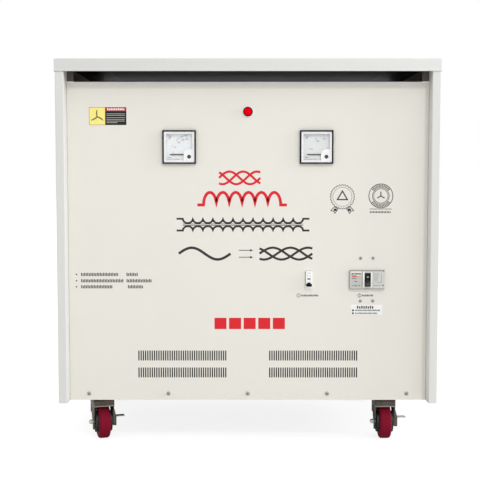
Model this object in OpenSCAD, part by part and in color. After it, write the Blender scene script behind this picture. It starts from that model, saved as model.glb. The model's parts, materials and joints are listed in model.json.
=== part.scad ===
// Phase converter transformer in a sheet-steel cabinet on four braked swivel casters.
// X runs along the width, the front faces -Y, and Z = 0 is the floor.
// The origin is on the floor, under the centre of the cabinet.

/* [Cabinet] */
// Width over the two side panels
cabinet_w = 1090; // [900:1:1400]
// Depth over the front and back flanges
cabinet_d = 700; // [560:1:1000]
// Height of the side panels
cabinet_h = 983; // [810:1:1250]
// Thickness of the painted sheet
sheet_t = 1.5; // [1:0.1:2.5]
// Bend radius at the middle of the sheet
bend_r = 2.25; // [1.5:0.05:4]
// Width of the flanges that face front and back
flange_w = 25; // [18:1:40]
// How far the front and back panels sit behind the flanges
recess = 45; // [25:1:70]
// Width of the tabs behind the front and back panels
tab_w = 20; // [12:1:35]
// Gap left all round between neighbouring sheets
sheet_gap = 0.3; // [0.1:0.1:1]
// Height of the fold along the top of the front and back panels
panel_fold = 12; // [6:1:25]

/* [Lid] */
// Height of the skirt of the lid
skirt_h = 36; // [20:1:60]
// Clear gap between the lid skirt and the cabinet
lid_gap = 0.5; // [0.2:0.1:2]
// Thickness that the hem adds to the skirt
hem_t = 1; // [0.5:0.1:2]
// Height of the hem
hem_h = 4; // [2:0.5:10]
// Height of the vent gap between the front panel and the lid skirt
vent_gap = 24.5; // [10:0.5:60]

/* [Vent slots] */
// Number of slots in one row of a group
slot_count = 40; // [10:1:44]
// Distance between neighbouring slots
slot_pitch = 6.5; // [5:0.1:8]
// Width of a slot
slot_w = 3.5; // [2:0.1:4]
// Height of a slot
slot_h = 30; // [15:1:40]
// Distance between the two rows
slot_row_pitch = 50; // [40:1:80]
// Height of the lower row above the cabinet bottom
slot_rise = 81; // [60:1:200]
// Distance between the centres of the two groups
slot_group_pitch = 382; // [290:1:500]

/* [Meters] */
// Outer size of a square meter
meter_size = 96; // [72:1:120]
// Distance between the two meters
meter_pitch = 395; // [200:1:600]
// Distance of the meter centres below the top of the front panel
meter_drop = 187; // [90:1:300]
// How far the meter stands out from the panel
meter_front = 8; // [6:0.5:12]
// Depth of the meter behind the panel
meter_depth = 46; // [30:1:70]
// Width of the black frame round the window
meter_frame = 4; // [3:0.5:8]
// Width of the white rim inside the frame
meter_rim = 6; // [3:0.5:8]
// How far the meter body is smaller than its frame, each side
meter_step = 3; // [2:0.5:6]
// Distance of the needle pivot from the right edge of the window
pivot_inset_x = 15.6; // [14:0.1:25]
// Distance of the needle pivot from the lower edge of the window
pivot_inset_z = 22.5; // [14:0.1:30]
// Gap between the needle's tip and the left edge of the window
needle_gap = 16; // [8:0.5:24]
// Diameter of the needle pivot
pivot_d = 2; // [1.5:0.1:3]
// Radius of the cover over the needle pivot
cover_r = 15.6; // [10:0.1:16]

/* [Pilot lamp] */
// Diameter of the lamp bezel
lamp_d = 30; // [24:1:40]
// Diameter of the lamp barrel behind the panel
lamp_barrel_d = 22; // [16:1:23]
// Distance of the lamp centre below the top of the front panel
lamp_drop = 86; // [60:1:150]
// Length of the lamp barrel behind the panel
lamp_depth = 48; // [30:1:60]

/* [Small breaker] */
// Distance of the small breaker to the right of the centre
small_x = 177; // [120:1:210]
// Height of both breakers above the cabinet bottom
breaker_rise = 354; // [250:1:500]
// Width of the small breaker
small_w = 20; // [17.5:0.5:36]
// Height of the small breaker's nose
small_nose_h = 50; // [40:1:60]
// Height of the small breaker's body
small_body_h = 85; // [75:1:100]
// Depth of the small breaker behind the panel
small_depth = 52; // [40:1:70]

/* [Main breaker] */
// Distance of the main breaker to the right of the centre
main_x = 345; // [290:1:370]
// Width of the main breaker
main_w = 102; // [75:1:120]
// Height of the main breaker's nose
main_nose_h = 55; // [45:1:70]
// Height of the main breaker's body
main_body_h = 165; // [130:1:190]
// Depth of the main breaker behind the panel
main_depth = 60; // [45:1:90]
// Distance between the mounting screws across the main breaker
main_screw_dx = 36; // [25:1:60]
// Distance between the mounting screws along the main breaker
main_screw_dz = 125; // [100:1:150]
// How far both noses stand out from the panel
nose_front = 8; // [4:0.5:15]
// Gap between a nose and the edge of its cutout
nose_gap = 0.6; // [0.3:0.1:2]

/* [Base frame] */
// Leg of the angle steel in the base frame
angle_leg = 50; // [40:1:80]
// Thickness of the angle steel
angle_t = 5; // [3:0.5:8]
// Width of the two cross beams
beam_w = 60; // [40:1:100]
// Distance between the two cross beams
beam_pitch = 440; // [300:1:600]

/* [Transformer] */
// Distance between neighbouring coils
coil_pitch = 220; // [200:1:260]
// Outer diameter of a coil
coil_d = 190; // [160:1:198]
// Width of a core limb
limb_w = 90; // [60:1:120]
// Height of the two yokes
yoke_h = 100; // [60:1:140]
// Height of the window between the yokes
window_h = 400; // [250:1:520]
// Thickness of the core from front to back
core_d = 120; // [80:1:160]
// Height of the clamp bars
clamp_h = 80; // [50:1:120]
// Diameter of the tie rods
rod_d = 12; // [8:1:20]

/* [Casters] */
// Height of a caster from the floor to the cabinet
caster_h = 128; // [125:1:160]
// Diameter of a caster wheel
wheel_d = 100; // [75:1:103]
// Width of a caster wheel
wheel_w = 34; // [25:1:45]
// Radius of the wheel's shoulders
shoulder_r = 8; // [3:0.5:12]
// Diameter inside the tread
rim_d = 72; // [50:1:88]
// How far the axle stands in front of the swivel axis
trail = 24; // [10:1:35]
// Distance between the left and right swivel axes
caster_pitch_x = 848; // [600:1:900]
// How far the casters sit to the left of the cabinet centre
caster_shift_x = 16; // [0:1:20]
// Distance from the flange to the swivel axis
caster_inset = 128; // [85:1:150]
// Clear width between the legs of a fork
fork_inner = 54; // [40:1:70]
// Thickness of the fork steel
fork_t = 3; // [2:0.5:5]
// Length of the crown from front to back
crown_len = 79; // [60:1:95]
// Radius of the leg ends round the axle
leg_end_r = 14; // [10:1:20]
// How far the left leg reaches below the axle
foot_drop = 24; // [20:1:30]
// Depth of the apron in front of the crown
apron_h = 19; // [8:1:24]
// Diameter of the axle
axle_d = 10; // [8:0.5:14]
// Diameter of the king pin
king_d = 16; // [12:1:20]
// Radial clearance of a turning fit
run_gap = 0.05; // [0.02:0.01:0.1]
// Angle of the front left caster as it stands
left_swivel = 17; // [-45:1:45]
// Angle of the front right caster as it stands
right_swivel = 0; // [-45:1:45]
// How far the back casters are turned from the front ones
back_turn = 180; // [0:5:355]
// How far the brake pedal reaches out
pedal_reach = 30; // [15:1:35]

/* [Hidden] */
$fn = 48;

// A hair of overlap, so that cuts run clear of the faces that they open
eps = 0.5;

// Colours
paint = "#E9E7E1";
steel = "#B9BBBC";
black = "#1E1F21";
white = "#F1F1EC";
dial_blue = "#CBD3DA";
lamp_red = "#D8122B";
breaker_grey = "#C9CBCA";
wheel_red = "#7A1A2C";
fork_grey = "#5B5651";
core_grey = "#6F7276";
copper = "#A5672F";

// Cabinet planes and heights
cabinet_z = caster_h;
cabinet_top = cabinet_z + cabinet_h;
panel_y = cabinet_d / 2 - recess;
bend_in = bend_r - sheet_t / 2;
bend_clear = 0.1;
panel_side_gap = bend_in - sqrt(pow(bend_in - bend_clear, 2) - pow(bend_in - sheet_gap, 2));
panel_half_w = cabinet_w / 2 - flange_w - panel_side_gap;
panel_h = cabinet_h + sheet_t - skirt_h - vent_gap;
panel_top = cabinet_z + panel_h;
panel_back_y = -panel_y + sheet_t;
fold_half_w = panel_half_w - tab_w;
screw_rise = 19;
screw_pitch = 232;
screw_count = 5;
panel_screw_d = 5;

// Meters, from the panel outwards
meter_z = panel_top - meter_drop;
meter_front_y = -panel_y - meter_front;
glass_set = 0.8;
glass_t = 1.5;
rim_t = 3;
dial_t = 1;
dial_gap = 6;
meter_open = meter_size - 2 * meter_frame;
pivot_x = meter_open / 2 - pivot_inset_x;
pivot_drop = meter_open / 2 - pivot_inset_z;
needle_len = pivot_x + meter_open / 2 - needle_gap;
dial_y = meter_front_y + glass_set + glass_t + rim_t + dial_gap;
needle_t = 0.6;
needle_w = 2.6;
needle_hub_d = 8;
needle_hub_t = 2;
needle_y = dial_y - 2.4;
cover_t = 1;

// Lamp
lamp_z = panel_top - lamp_drop;

// Breakers
breaker_z = cabinet_z + breaker_rise;
small_slot_w = 9;
small_slot_h = 22;
small_slot_drop = 6;
small_lever_w = 8;
main_slot_w = 18;
main_slot_h = 40;
main_slot_x = 2;
main_lever_w = 15;
lever_slot_depth = 13;
lever_pivot_d = 3;
lever_pivot_depth = 8;
lever_pivot_y = -panel_y - nose_front + lever_pivot_depth;
lever_lean = 35;
small_reach = 20;
main_reach = 26;
main_screw_d = 4;
main_screw_len = 18;
rail_h = 35;
rail_len = 90;
rail_t = 1;
rail_notch = 6;
rail_post = 10;
small_body_y = panel_back_y + sheet_gap;
rail_y = small_body_y + small_depth - rail_notch;

// Base frame and transformer
frame_half_x = cabinet_w / 2 - sheet_t;
frame_half_y = panel_y - sheet_t;
frame_top = cabinet_z + angle_leg;
plate_edge = angle_t - 1.5;
core_z = frame_top + sheet_t;
core_w = 2 * coil_pitch + limb_w;
core_h = window_h + 2 * yoke_h;
clamp_leg = 45;
clamp_t = 6;
coil_clear = 12;
rod_nut_h = 10;
clamp_len = core_w + 60;
rod_end_x = clamp_len / 2 - 15;
rod_edge = 17;

// Casters
plate_w = 86;
plate_len = 90;
plate_t = 4;
race_d = 58;
race_h = 5;
swivel_gap = 0.3;
crown_top = caster_h - plate_t - race_h - swivel_gap;
crown_bottom = crown_top - fork_t;
fork_half = fork_inner / 2 + fork_t;
axle_z = wheel_d / 2;
hub_w = fork_inner - 6;
hub_boss_d = 62;
caster_y = cabinet_d / 2 - caster_inset;
left_x = -caster_shift_x - caster_pitch_x / 2;
right_x = -caster_shift_x + caster_pitch_x / 2;
pedal_pin_d = 4;
pedal_barrel_d = 8;
pedal_len = 22;
pedal_y = 5 - trail;
rivet_h = 4;
rivet_d = 26;
head_d = 14;
head_h = 12;
leg_back = crown_len / 2;
guard_h = 53;
guard_half = fork_half - 2;
leg_front = trail + leg_end_r + 13;
foot_r = leg_end_r / 2;
hub_web = 14;
pedal_t = 2;
pedal_x = fork_half + pedal_barrel_d / 2 + 1;
pedal_z = axle_z + 9;
pedal_drop = 22;
ear_x = pedal_x + pedal_barrel_d / 2;
ear_t = 2.5;
gusset_h = 40;
gusset_drop = 14;
lip = 2;

function unit(v) = v / norm(v);

// ---------- shared shapes ----------

// A flat stretch of sheet between two points, seen along the folds
module straight_run(a, b) {
    side = sheet_t / 2 * [-(b - a)[1], (b - a)[0]] / norm(b - a);
    polygon([a + side, a - side, b - side, b + side]);
}

// A bend at point p between the directions u and v
module bend(p, u, v) {
    reach = bend_r + sheet_t;
    translate(p + bend_r * (v - u))
        intersection() {
            difference() {
                circle(bend_r + sheet_t / 2);
                circle(bend_r - sheet_t / 2);
            }
            polygon([[0, 0], reach * u, reach * (u - v), -reach * v]);
        }
}

// A sheet folded at right angles along a path of points
module folded_sheet(path) {
    last = len(path) - 1;
    for (i = [0 : last - 1]) {
        dir = unit(path[i + 1] - path[i]);
        start = path[i] + (i == 0 ? 0 : bend_r) * dir;
        end = path[i + 1] - (i == last - 1 ? 0 : bend_r) * dir;
        straight_run(start, end);
    }
    for (i = [1 : last - 1])
        bend(path[i], unit(path[i] - path[i - 1]), unit(path[i + 1] - path[i]));
}

// A plate standing in the XZ plane, from depth y to y + t
module upright(y, t) {
    translate([0, y + t, 0])
        rotate([90, 0, 0])
            linear_extrude(t)
                children();
}

// A cylinder along Y, from depth y to y + len
module peg(x, z, y, d, len) {
    translate([x, y, z])
        rotate([-90, 0, 0])
            cylinder(d = d, h = len);
}

// A round-headed screw of diameter d whose shank points to +Y
module screw(x, z, face_y, d, shank) {
    head_h = 0.8 * d;
    dome_r = 2 * d;
    translate([x, face_y, z])
        rotate([90, 0, 0])
            intersection() {
                cylinder(d = 2.2 * d, h = head_h);
                translate([0, 0, head_h - dome_r])
                    sphere(dome_r);
            }
    peg(x, z, face_y - eps, d, shank + eps);
}

// ---------- cabinet ----------

module top_cover() color(paint) {
    outer_w = cabinet_w + 2 * (lid_gap + sheet_t);
    outer_d = cabinet_d + 2 * (lid_gap + sheet_t);
    skirt_z = cabinet_top + sheet_t - skirt_h;
    difference() {
        union() {
            translate([-outer_w / 2, -outer_d / 2, skirt_z])
                cube([outer_w, outer_d, skirt_h]);
            translate([-outer_w / 2 - hem_t, -outer_d / 2 - hem_t, skirt_z])
                cube([outer_w + 2 * hem_t, outer_d + 2 * hem_t, hem_h]);
        }
        translate([-outer_w / 2 + sheet_t, -outer_d / 2 + sheet_t, skirt_z - eps])
            cube([outer_w - 2 * sheet_t, outer_d - 2 * sheet_t, skirt_h - sheet_t + eps]);
    }
}

// The right side, folded from one sheet: tab, return, flange, side, flange, return, tab
module side_panel() color(paint) {
    half = sheet_t / 2;
    tab_x = cabinet_w / 2 - flange_w - tab_w;
    return_x = cabinet_w / 2 - flange_w + half;
    side_x = cabinet_w / 2 - half;
    flange_y = cabinet_d / 2 - half;
    tab_y = panel_y - sheet_t - half - sheet_gap;
    difference() {
        translate([0, 0, cabinet_z])
            linear_extrude(cabinet_h)
                folded_sheet([
                    [tab_x, -tab_y], [return_x, -tab_y], [return_x, -flange_y], [side_x, -flange_y],
                    [side_x, flange_y], [return_x, flange_y], [return_x, tab_y], [tab_x, tab_y]
                ]);
        // The tabs stop above the base frame
        translate([tab_x - eps, -frame_half_y, cabinet_z - eps])
            cube([return_x + half - tab_x + 2 * eps, 2 * frame_half_y, angle_leg + 2 * eps]);
    }
}

module left_side_panel() mirror([1, 0, 0]) side_panel();

module right_side_panel() side_panel();

// Outline of a plain panel with its row of screw holes; its ends rise past the folded middle
module panel_outline() {
    difference() {
        translate([-panel_half_w, cabinet_z])
            square([2 * panel_half_w, panel_h]);
        translate([-fold_half_w, panel_top - bend_r - sheet_t / 2])
            square([2 * fold_half_w, bend_r + sheet_t]);
        screw_row()
            circle(d = panel_screw_d + 2 * sheet_gap);
    }
}

// Children at each of the screws along the bottom of a panel
module screw_row() {
    for (i = [0 : screw_count - 1])
        translate([(i - (screw_count - 1) / 2) * screw_pitch, cabinet_z + screw_rise])
            children();
}

// The bend and fold along the top of a panel, inwards between the tabs of the side panels
module panel_top_fold() {
    face_y = -panel_y + sheet_t / 2;
    fold_z = panel_top - sheet_t / 2;
    rotate([90, 0, 90])
        linear_extrude(2 * fold_half_w, center = true)
            folded_sheet([
                [face_y, fold_z - bend_r - eps], [face_y, fold_z], [face_y + panel_fold, fold_z]
            ]);
}

module vent_slot() {
    square([slot_w, slot_h - slot_w], center = true);
    for (end = [-1, 1])
        translate([0, end * (slot_h - slot_w) / 2])
            circle(d = slot_w);
}

module vent_slots() {
    for (group = [-1, 1], row = [0, 1], i = [0 : slot_count - 1])
        translate([
            group * slot_group_pitch / 2 + (i - (slot_count - 1) / 2) * slot_pitch,
            cabinet_z + slot_rise + row * slot_row_pitch
        ])
            vent_slot();
}

module front_panel() color(paint) {
    meter_hole = meter_size - 2 * meter_step + 2 * sheet_gap;
    upright(-panel_y, sheet_t)
        difference() {
            panel_outline();
            vent_slots();
            for (side = [-1, 1])
                translate([side * meter_pitch / 2, meter_z])
                    square(meter_hole, center = true);
            translate([0, lamp_z])
                circle(d = lamp_barrel_d + 2 * sheet_gap);
            translate([small_x, breaker_z])
                square([small_w + 2 * nose_gap, small_nose_h + 2 * nose_gap], center = true);
            translate([main_x, breaker_z])
                square([main_w + 2 * nose_gap, main_nose_h + 2 * nose_gap], center = true);
            main_screw_points()
                circle(d = main_screw_d + 2 * sheet_gap);
        }
    panel_top_fold();
}

// The back: closed, with its vent slots and its top fold as on the front
module back_panel() color(paint) rotate([0, 0, 180]) {
    upright(-panel_y, sheet_t)
        difference() {
            panel_outline();
            vent_slots();
        }
    panel_top_fold();
}

module front_screws() color(steel)
    for (i = [0 : screw_count - 1])
        screw(
            (i - (screw_count - 1) / 2) * screw_pitch, cabinet_z + screw_rise,
            -panel_y, panel_screw_d, 12
        );

module back_screws() rotate([0, 0, 180]) front_screws();

// ---------- base frame ----------

// An angle bar along X, its upright leg facing -Y
module angle_bar(len) {
    rotate([90, 0, 90])
        linear_extrude(len, center = true)
            polygon([
                [0, 0], [angle_leg, 0], [angle_leg, angle_t],
                [angle_t, angle_t], [angle_t, angle_leg], [0, angle_leg]
            ]);
}

// A channel along Y, open at the bottom
module cross_beam(half_len) {
    difference() {
        translate([-beam_w / 2, -half_len, 0])
            cube([beam_w, 2 * half_len, angle_leg]);
        translate([angle_t - beam_w / 2, -half_len - eps, -eps])
            cube([beam_w - 2 * angle_t, 2 * (half_len + eps), angle_leg - angle_t + eps]);
    }
}

// A ring of angle bars, two beams under the transformer and two over the casters
module base_frame() color(core_grey) {
    difference() {
        translate([0, 0, cabinet_z]) {
            for (turn = [0, 180])
                rotate([0, 0, turn])
                    translate([0, -frame_half_y, 0])
                        angle_bar(2 * frame_half_x);
            for (turn = [90, 270])
                rotate([0, 0, turn])
                    translate([0, -frame_half_x, 0])
                        angle_bar(2 * frame_half_y);
            for (side = [-1, 1])
                translate([side * beam_pitch / 2, 0, 0])
                    cross_beam(frame_half_y - angle_t);
            for (x = [left_x, right_x])
                translate([x, 0, 0])
                    cross_beam(frame_half_y - angle_leg);
        }
        for (turn = [0, 180])
            rotate([0, 0, turn])
                upright(-frame_half_y - eps, angle_t + 2 * eps)
                    screw_row()
                        circle(d = panel_screw_d + 2 * sheet_gap);
    }
}

// A sheet lying on the frame, clear of the tabs of the side panels
module bottom_plate() color(core_grey)
    translate([-(frame_half_x - plate_edge), -(frame_half_y - plate_edge), frame_top])
        cube([2 * (frame_half_x - plate_edge), 2 * (frame_half_y - plate_edge), sheet_t]);

// ---------- meters ----------

// Meter parts are drawn round the meter's centre line, x = 0, z = 0
module at_meter(side) {
    translate([side * meter_pitch / 2, 0, meter_z])
        children();
}

module meter_case() color(black) {
    body = meter_size - 2 * meter_step;
    difference() {
        union() {
            upright(meter_front_y, meter_front)
                square(meter_size, center = true);
            upright(-panel_y - eps, meter_depth + eps)
                square(body, center = true);
        }
        upright(meter_front_y - eps, eps + dial_y + dial_t - meter_front_y)
            square(meter_open, center = true);
    }
}

module meter_dial() color(dial_blue) {
    upright(dial_y, dial_t)
        square(meter_open, center = true);
    pivot_y = needle_y - needle_hub_t / 2;
    peg(pivot_x, -pivot_drop, pivot_y, pivot_d, dial_y - pivot_y + eps);
}

module meter_rim() color(white)
    upright(meter_front_y + glass_set + glass_t, rim_t)
        difference() {
            square(meter_open, center = true);
            square(meter_open - 2 * meter_rim, center = true);
        }

// The white cover over the needle's pivot, carried by the rim in the lower right corner
module meter_cover() color(white) {
    edge = meter_open / 2 - meter_rim;
    upright(meter_front_y + glass_set + glass_t + rim_t, cover_t) {
        translate([pivot_x, -pivot_drop])
            circle(cover_r);
        polygon([
            [pivot_x - cover_r, -pivot_drop], [pivot_x - cover_r, -edge - meter_rim / 2],
            [edge + meter_rim / 2, -edge - meter_rim / 2], [edge + meter_rim / 2, -pivot_drop + cover_r],
            [pivot_x, -pivot_drop + cover_r]
        ]);
    }
}

module meter_glass() color("#DDE6EA", 0.35)
    upright(meter_front_y + glass_set, glass_t)
        square(meter_open, center = true);

// The needle points to the left, at zero, and turns on the dial's pivot
module meter_needle() color(black) {
    difference() {
        union() {
            upright(needle_y - needle_t / 2, needle_t)
                translate([pivot_x - needle_len, -pivot_drop - needle_w / 2])
                    square([needle_len, needle_w]);
            peg(pivot_x, -pivot_drop, needle_y - needle_hub_t / 2, needle_hub_d, needle_hub_t);
        }
        peg(pivot_x, -pivot_drop, needle_y - needle_hub_t, pivot_d + 2 * run_gap, 2 * needle_hub_t);
    }
}

// ---------- pilot lamp ----------

module lamp_bezel() color(black) {
    difference() {
        union() {
            peg(0, lamp_z, -panel_y - 5, lamp_d, 5);
            peg(0, lamp_z, -panel_y - eps, lamp_barrel_d, lamp_depth + eps);
        }
        peg(0, lamp_z, -panel_y - 5 - eps, lamp_d - 4, 3 + eps);
    }
}

module lamp_lens() color(lamp_red) {
    lens_d = lamp_d - 4;
    translate([0, -panel_y - 2, lamp_z])
        rotate([90, 0, 0])
            rotate_extrude()
                polygon(concat(
                    [[0, 0], [lens_d / 2, 0], [lens_d / 2, 4]],
                    [for (a = [15 : 15 : 90]) [lens_d / 2 * cos(a), 4 + 5 * sin(a)]]
                ));
}

// ---------- breakers ----------

// A slot in a breaker's nose, with the pin that its lever turns on
module lever_slot(w, h) {
    upright(-panel_y - nose_front - eps, lever_slot_depth + eps)
        square([w, h], center = true);
}

module lever_pin(w) {
    translate([0, lever_pivot_y, 0])
        rotate([0, 90, 0])
            cylinder(d = lever_pivot_d, h = w + 2 * eps, center = true);
}

// A lever on that pin, leaning down by lever_lean
module lever(w, reach, root_d, tip_t) {
    translate([0, lever_pivot_y, 0])
        rotate([90, 0, 90])
            linear_extrude(w, center = true)
                difference() {
                    union() {
                        circle(d = root_d);
                        rotate(lever_lean)
                            translate([-reach, -tip_t / 2])
                                square([reach, tip_t]);
                    }
                    circle(d = lever_pivot_d + 2 * run_gap);
                }
}

module small_breaker() color(white) {
    difference() {
        translate([small_x, 0, breaker_z]) {
            upright(small_body_y, small_depth)
                square([small_w, small_body_h], center = true);
            upright(-panel_y - nose_front, nose_front + sheet_t + 2)
                square([small_w, small_nose_h], center = true);
        }
        translate([small_x, 0, breaker_z - small_slot_drop])
            lever_slot(small_slot_w, small_slot_h);
        // Notch that clips on the rail
        translate([small_x - small_w / 2 - eps, rail_y, breaker_z - rail_h / 2])
            cube([small_w + 2 * eps, rail_notch + eps, rail_h]);
    }
    translate([small_x, 0, breaker_z - small_slot_drop])
        lever_pin(small_slot_w);
}

module small_breaker_toggle() color(black)
    translate([small_x, 0, breaker_z - small_slot_drop])
        lever(small_lever_w, small_reach, 7, 5);

// The rail that carries the small breaker, on two posts behind the front panel
module breaker_rail() color(steel)
    translate([small_x, 0, breaker_z]) {
        upright(rail_y, rail_t)
            square([rail_len, rail_h], center = true);
        for (side = [-1, 1])
            translate([side * (rail_len - rail_post) / 2, 0, 0])
                upright(panel_back_y, rail_y - panel_back_y + rail_t / 2)
                    square(rail_post, center = true);
    }

// Children at each of the four mounting screws of the main breaker
module main_screw_points() {
    for (dx = [-1, 1], dz = [-1, 1])
        translate([main_x + dx * main_screw_dx / 2, breaker_z + dz * main_screw_dz / 2])
            children();
}

module main_breaker() color(breaker_grey) {
    difference() {
        translate([main_x, 0, breaker_z]) {
            upright(panel_back_y, main_depth)
                square([main_w, main_body_h], center = true);
            upright(-panel_y - nose_front, nose_front + sheet_t + 2)
                square([main_w, main_nose_h], center = true);
        }
        translate([main_x + main_slot_x, 0, breaker_z])
            lever_slot(main_slot_w, main_slot_h);
        upright(panel_back_y - eps, main_screw_len + eps)
            main_screw_points()
                circle(d = main_screw_d + 2 * run_gap);
    }
    translate([main_x + main_slot_x, 0, breaker_z])
        lever_pin(main_slot_w);
}

module main_breaker_toggle() color(black)
    translate([main_x + main_slot_x, 0, breaker_z])
        lever(main_lever_w, main_reach, 9, 7);

module main_breaker_screws() color(steel)
    for (dx = [-1, 1], dz = [-1, 1])
        screw(
            main_x + dx * main_screw_dx / 2, breaker_z + dz * main_screw_dz / 2,
            -panel_y, main_screw_d, main_screw_len - 2
        );

// ---------- transformer ----------

// Core of three limbs and two yokes, standing on the bottom plate
module transformer_core() color(core_grey)
    upright(-core_d / 2, core_d)
        difference() {
            translate([-core_w / 2, core_z])
                square([core_w, core_h]);
            for (side = [-1, 1])
                translate([side * coil_pitch / 2 - (coil_pitch - limb_w) / 2, core_z + yoke_h])
                    square([coil_pitch - limb_w, window_h]);
        }

module transformer_coils() color(copper)
    for (i = [-1 : 1])
        translate([i * coil_pitch, 0, core_z + yoke_h + coil_clear])
            difference() {
                cylinder(d = coil_d, h = window_h - 2 * coil_clear);
                translate([-limb_w / 2, -core_d / 2, -eps])
                    cube([limb_w, core_d, window_h]);
            }

// A channel bar along X, its web against a yoke and its flanges towards -Y
module clamp_bar() {
    difference() {
        translate([-clamp_len / 2, -core_d / 2 - clamp_leg, 0])
            cube([clamp_len, clamp_leg, clamp_h]);
        translate([-clamp_len / 2 - eps, -core_d / 2 - clamp_leg - eps, clamp_t])
            cube([clamp_len + 2 * eps, clamp_leg - clamp_t + eps, clamp_h - 2 * clamp_t]);
        rod_points()
            translate([0, 0, -eps])
                cylinder(d = rod_d + 2 * sheet_gap, h = clamp_h + 2 * eps);
    }
}

// Children at the tie rods in front of the core
module rod_points() {
    for (x = [-rod_end_x, -coil_pitch / 2, coil_pitch / 2, rod_end_x])
        translate([x, -core_d / 2 - clamp_leg + rod_edge, 0])
            children();
}

module core_clamps() color(core_grey)
    for (turn = [0, 180], z = [core_z, core_z + core_h - clamp_h])
        rotate([0, 0, turn])
            translate([0, 0, z])
                clamp_bar();

module tie_rods() color(steel) {
    low_z = core_z + clamp_h - clamp_t;
    high_z = core_z + core_h - clamp_h + clamp_t;
    for (turn = [0, 180])
        rotate([0, 0, turn])
            rod_points() {
                translate([0, 0, low_z - rod_nut_h])
                    cylinder(d = rod_d, h = high_z - low_z + 2 * rod_nut_h);
                for (z = [low_z - rod_nut_h, high_z])
                    translate([0, 0, z])
                        cylinder(d = 1.8 * rod_d, h = rod_nut_h, $fn = 6);
            }
}

// ---------- casters ----------

// Children at the swivel axis of a caster; front and side are -1 or 1
module at_caster(front, side) {
    translate([side < 0 ? left_x : right_x, front * caster_y, 0])
        children();
}

// The same, turned as the caster stands
module at_fork(front, side) {
    at_caster(front, side)
        rotate([0, 0, (side < 0 ? left_swivel : right_swivel) + (front > 0 ? back_turn : 0)])
            children();
}

// A cylinder along X from x = start
module rod_x(start, len, d) {
    translate([start, 0, 0])
        rotate([0, 90, 0])
            cylinder(d = d, h = len);
}

// The fixed plates with their races and riveted king pins
module caster_plates() color(steel)
    for (front = [-1, 1], side = [-1, 1])
        at_caster(front, side) {
            translate([-plate_w / 2, -plate_len / 2, caster_h - plate_t])
                cube([plate_w, plate_len, plate_t]);
            translate([0, 0, caster_h - plate_t - race_h])
                cylinder(d = race_d, h = race_h + eps);
            translate([0, 0, crown_bottom - swivel_gap - rivet_h]) {
                cylinder(d = king_d, h = rivet_h + fork_t + 2 * swivel_gap + eps);
                cylinder(d = rivet_d, h = rivet_h);
            }
        }

// Side view of a fork leg, across Y and Z; foot is the reach of its end below the axle
module leg_outline(foot) {
    polygon([
        [-leg_front, crown_bottom + fork_t / 2], [leg_back, crown_bottom + fork_t / 2],
        [leg_end_r - trail, axle_z], [-leg_end_r - trail, axle_z]
    ]);
    translate([-trail, axle_z])
        circle(leg_end_r);
    if (foot > leg_end_r)
        translate([-trail, axle_z]) {
            polygon([
                [-leg_end_r, 0], [leg_end_r, 0],
                [foot_r, foot_r - foot], [-foot_r, foot_r - foot]
            ]);
            translate([0, foot_r - foot])
                circle(foot_r);
        }
}

// A crown with two legs, an apron in front of the wheel and a guard plate behind it
module fork() color(fork_grey) {
    difference() {
        union() {
            translate([0, 0, crown_bottom]) {
                cylinder(d = crown_len, h = fork_t);
                translate([-fork_half, -leg_front, 0])
                    cube([2 * fork_half, leg_front + leg_back, fork_t]);
            }
            for (side = [-1, 1])
                translate([side * (fork_half - fork_t / 2), 0, 0])
                    rotate([90, 0, 90])
                        linear_extrude(fork_t, center = true)
                            leg_outline(side < 0 ? foot_drop : 0);
            apron();
            translate([-guard_half, leg_back - fork_t, crown_top - guard_h])
                cube([2 * guard_half, fork_t, guard_h]);
        }
        translate([0, 0, crown_bottom - eps])
            cylinder(d = king_d + 2 * run_gap, h = fork_t + 2 * eps);
        translate([0, -trail, axle_z])
            rod_x(-fork_half - eps, 2 * (fork_half + eps), axle_d + 2 * run_gap);
    }
    pedal_ears();
}

// The apron across the front of the crown, with a lip along its lower edge
module apron() {
    apron_z = crown_top - apron_h;
    translate([-fork_half, -leg_front, apron_z])
        cube([2 * fork_half, fork_t, apron_h]);
    translate([-fork_half, -leg_front - lip, apron_z])
        cube([2 * fork_half, lip + eps, lip]);
}

// Two ears on the right leg and the riveted pin between them; the front one is a gusset
module pedal_ears() {
    ear_z = pedal_z - pedal_barrel_d / 2;
    upright(pedal_y - pedal_len / 2 - ear_t, ear_t)
        polygon([
            [fork_half - eps, pedal_z + gusset_h], [ear_x, pedal_z + pedal_barrel_d / 2],
            [ear_x, axle_z - gusset_drop], [fork_half - eps, axle_z - gusset_drop]
        ]);
    translate([fork_half - eps, pedal_y + pedal_len / 2, ear_z])
        cube([ear_x - fork_half + eps, ear_t, pedal_barrel_d]);
    peg(pedal_x, pedal_z, pedal_y - pedal_len / 2 - eps, pedal_pin_d, pedal_len + 2 * eps);
}

// The brake pedal: a barrel on the pin, a tab to tread on and a plate beside the leg
module pedal() color(steel) {
    end_gap = 0.5;
    len = pedal_len - 2 * end_gap;
    difference() {
        translate([0, pedal_y + len / 2, 0])
            rotate([90, 0, 0])
                linear_extrude(len) {
                    translate([pedal_x, pedal_z])
                        circle(d = pedal_barrel_d);
                    translate([pedal_x, pedal_z + pedal_barrel_d / 2 - pedal_t])
                        square([pedal_reach, pedal_t]);
                    translate([pedal_x - pedal_barrel_d / 2, pedal_z - pedal_drop])
                        square([pedal_t, pedal_drop]);
                }
        peg(pedal_x, pedal_z, pedal_y - pedal_len / 2, pedal_pin_d + 2 * run_gap, pedal_len);
    }
}

module at_axle() translate([0, -trail, axle_z]) children();

// The axle bolt: its head on the left leg, its end flush in the right one
module axle() color(steel)
    at_axle() {
        rod_x(-fork_half, 2 * fork_half, axle_d);
        rod_x(-fork_half - head_h, head_h, head_d);
    }

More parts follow.
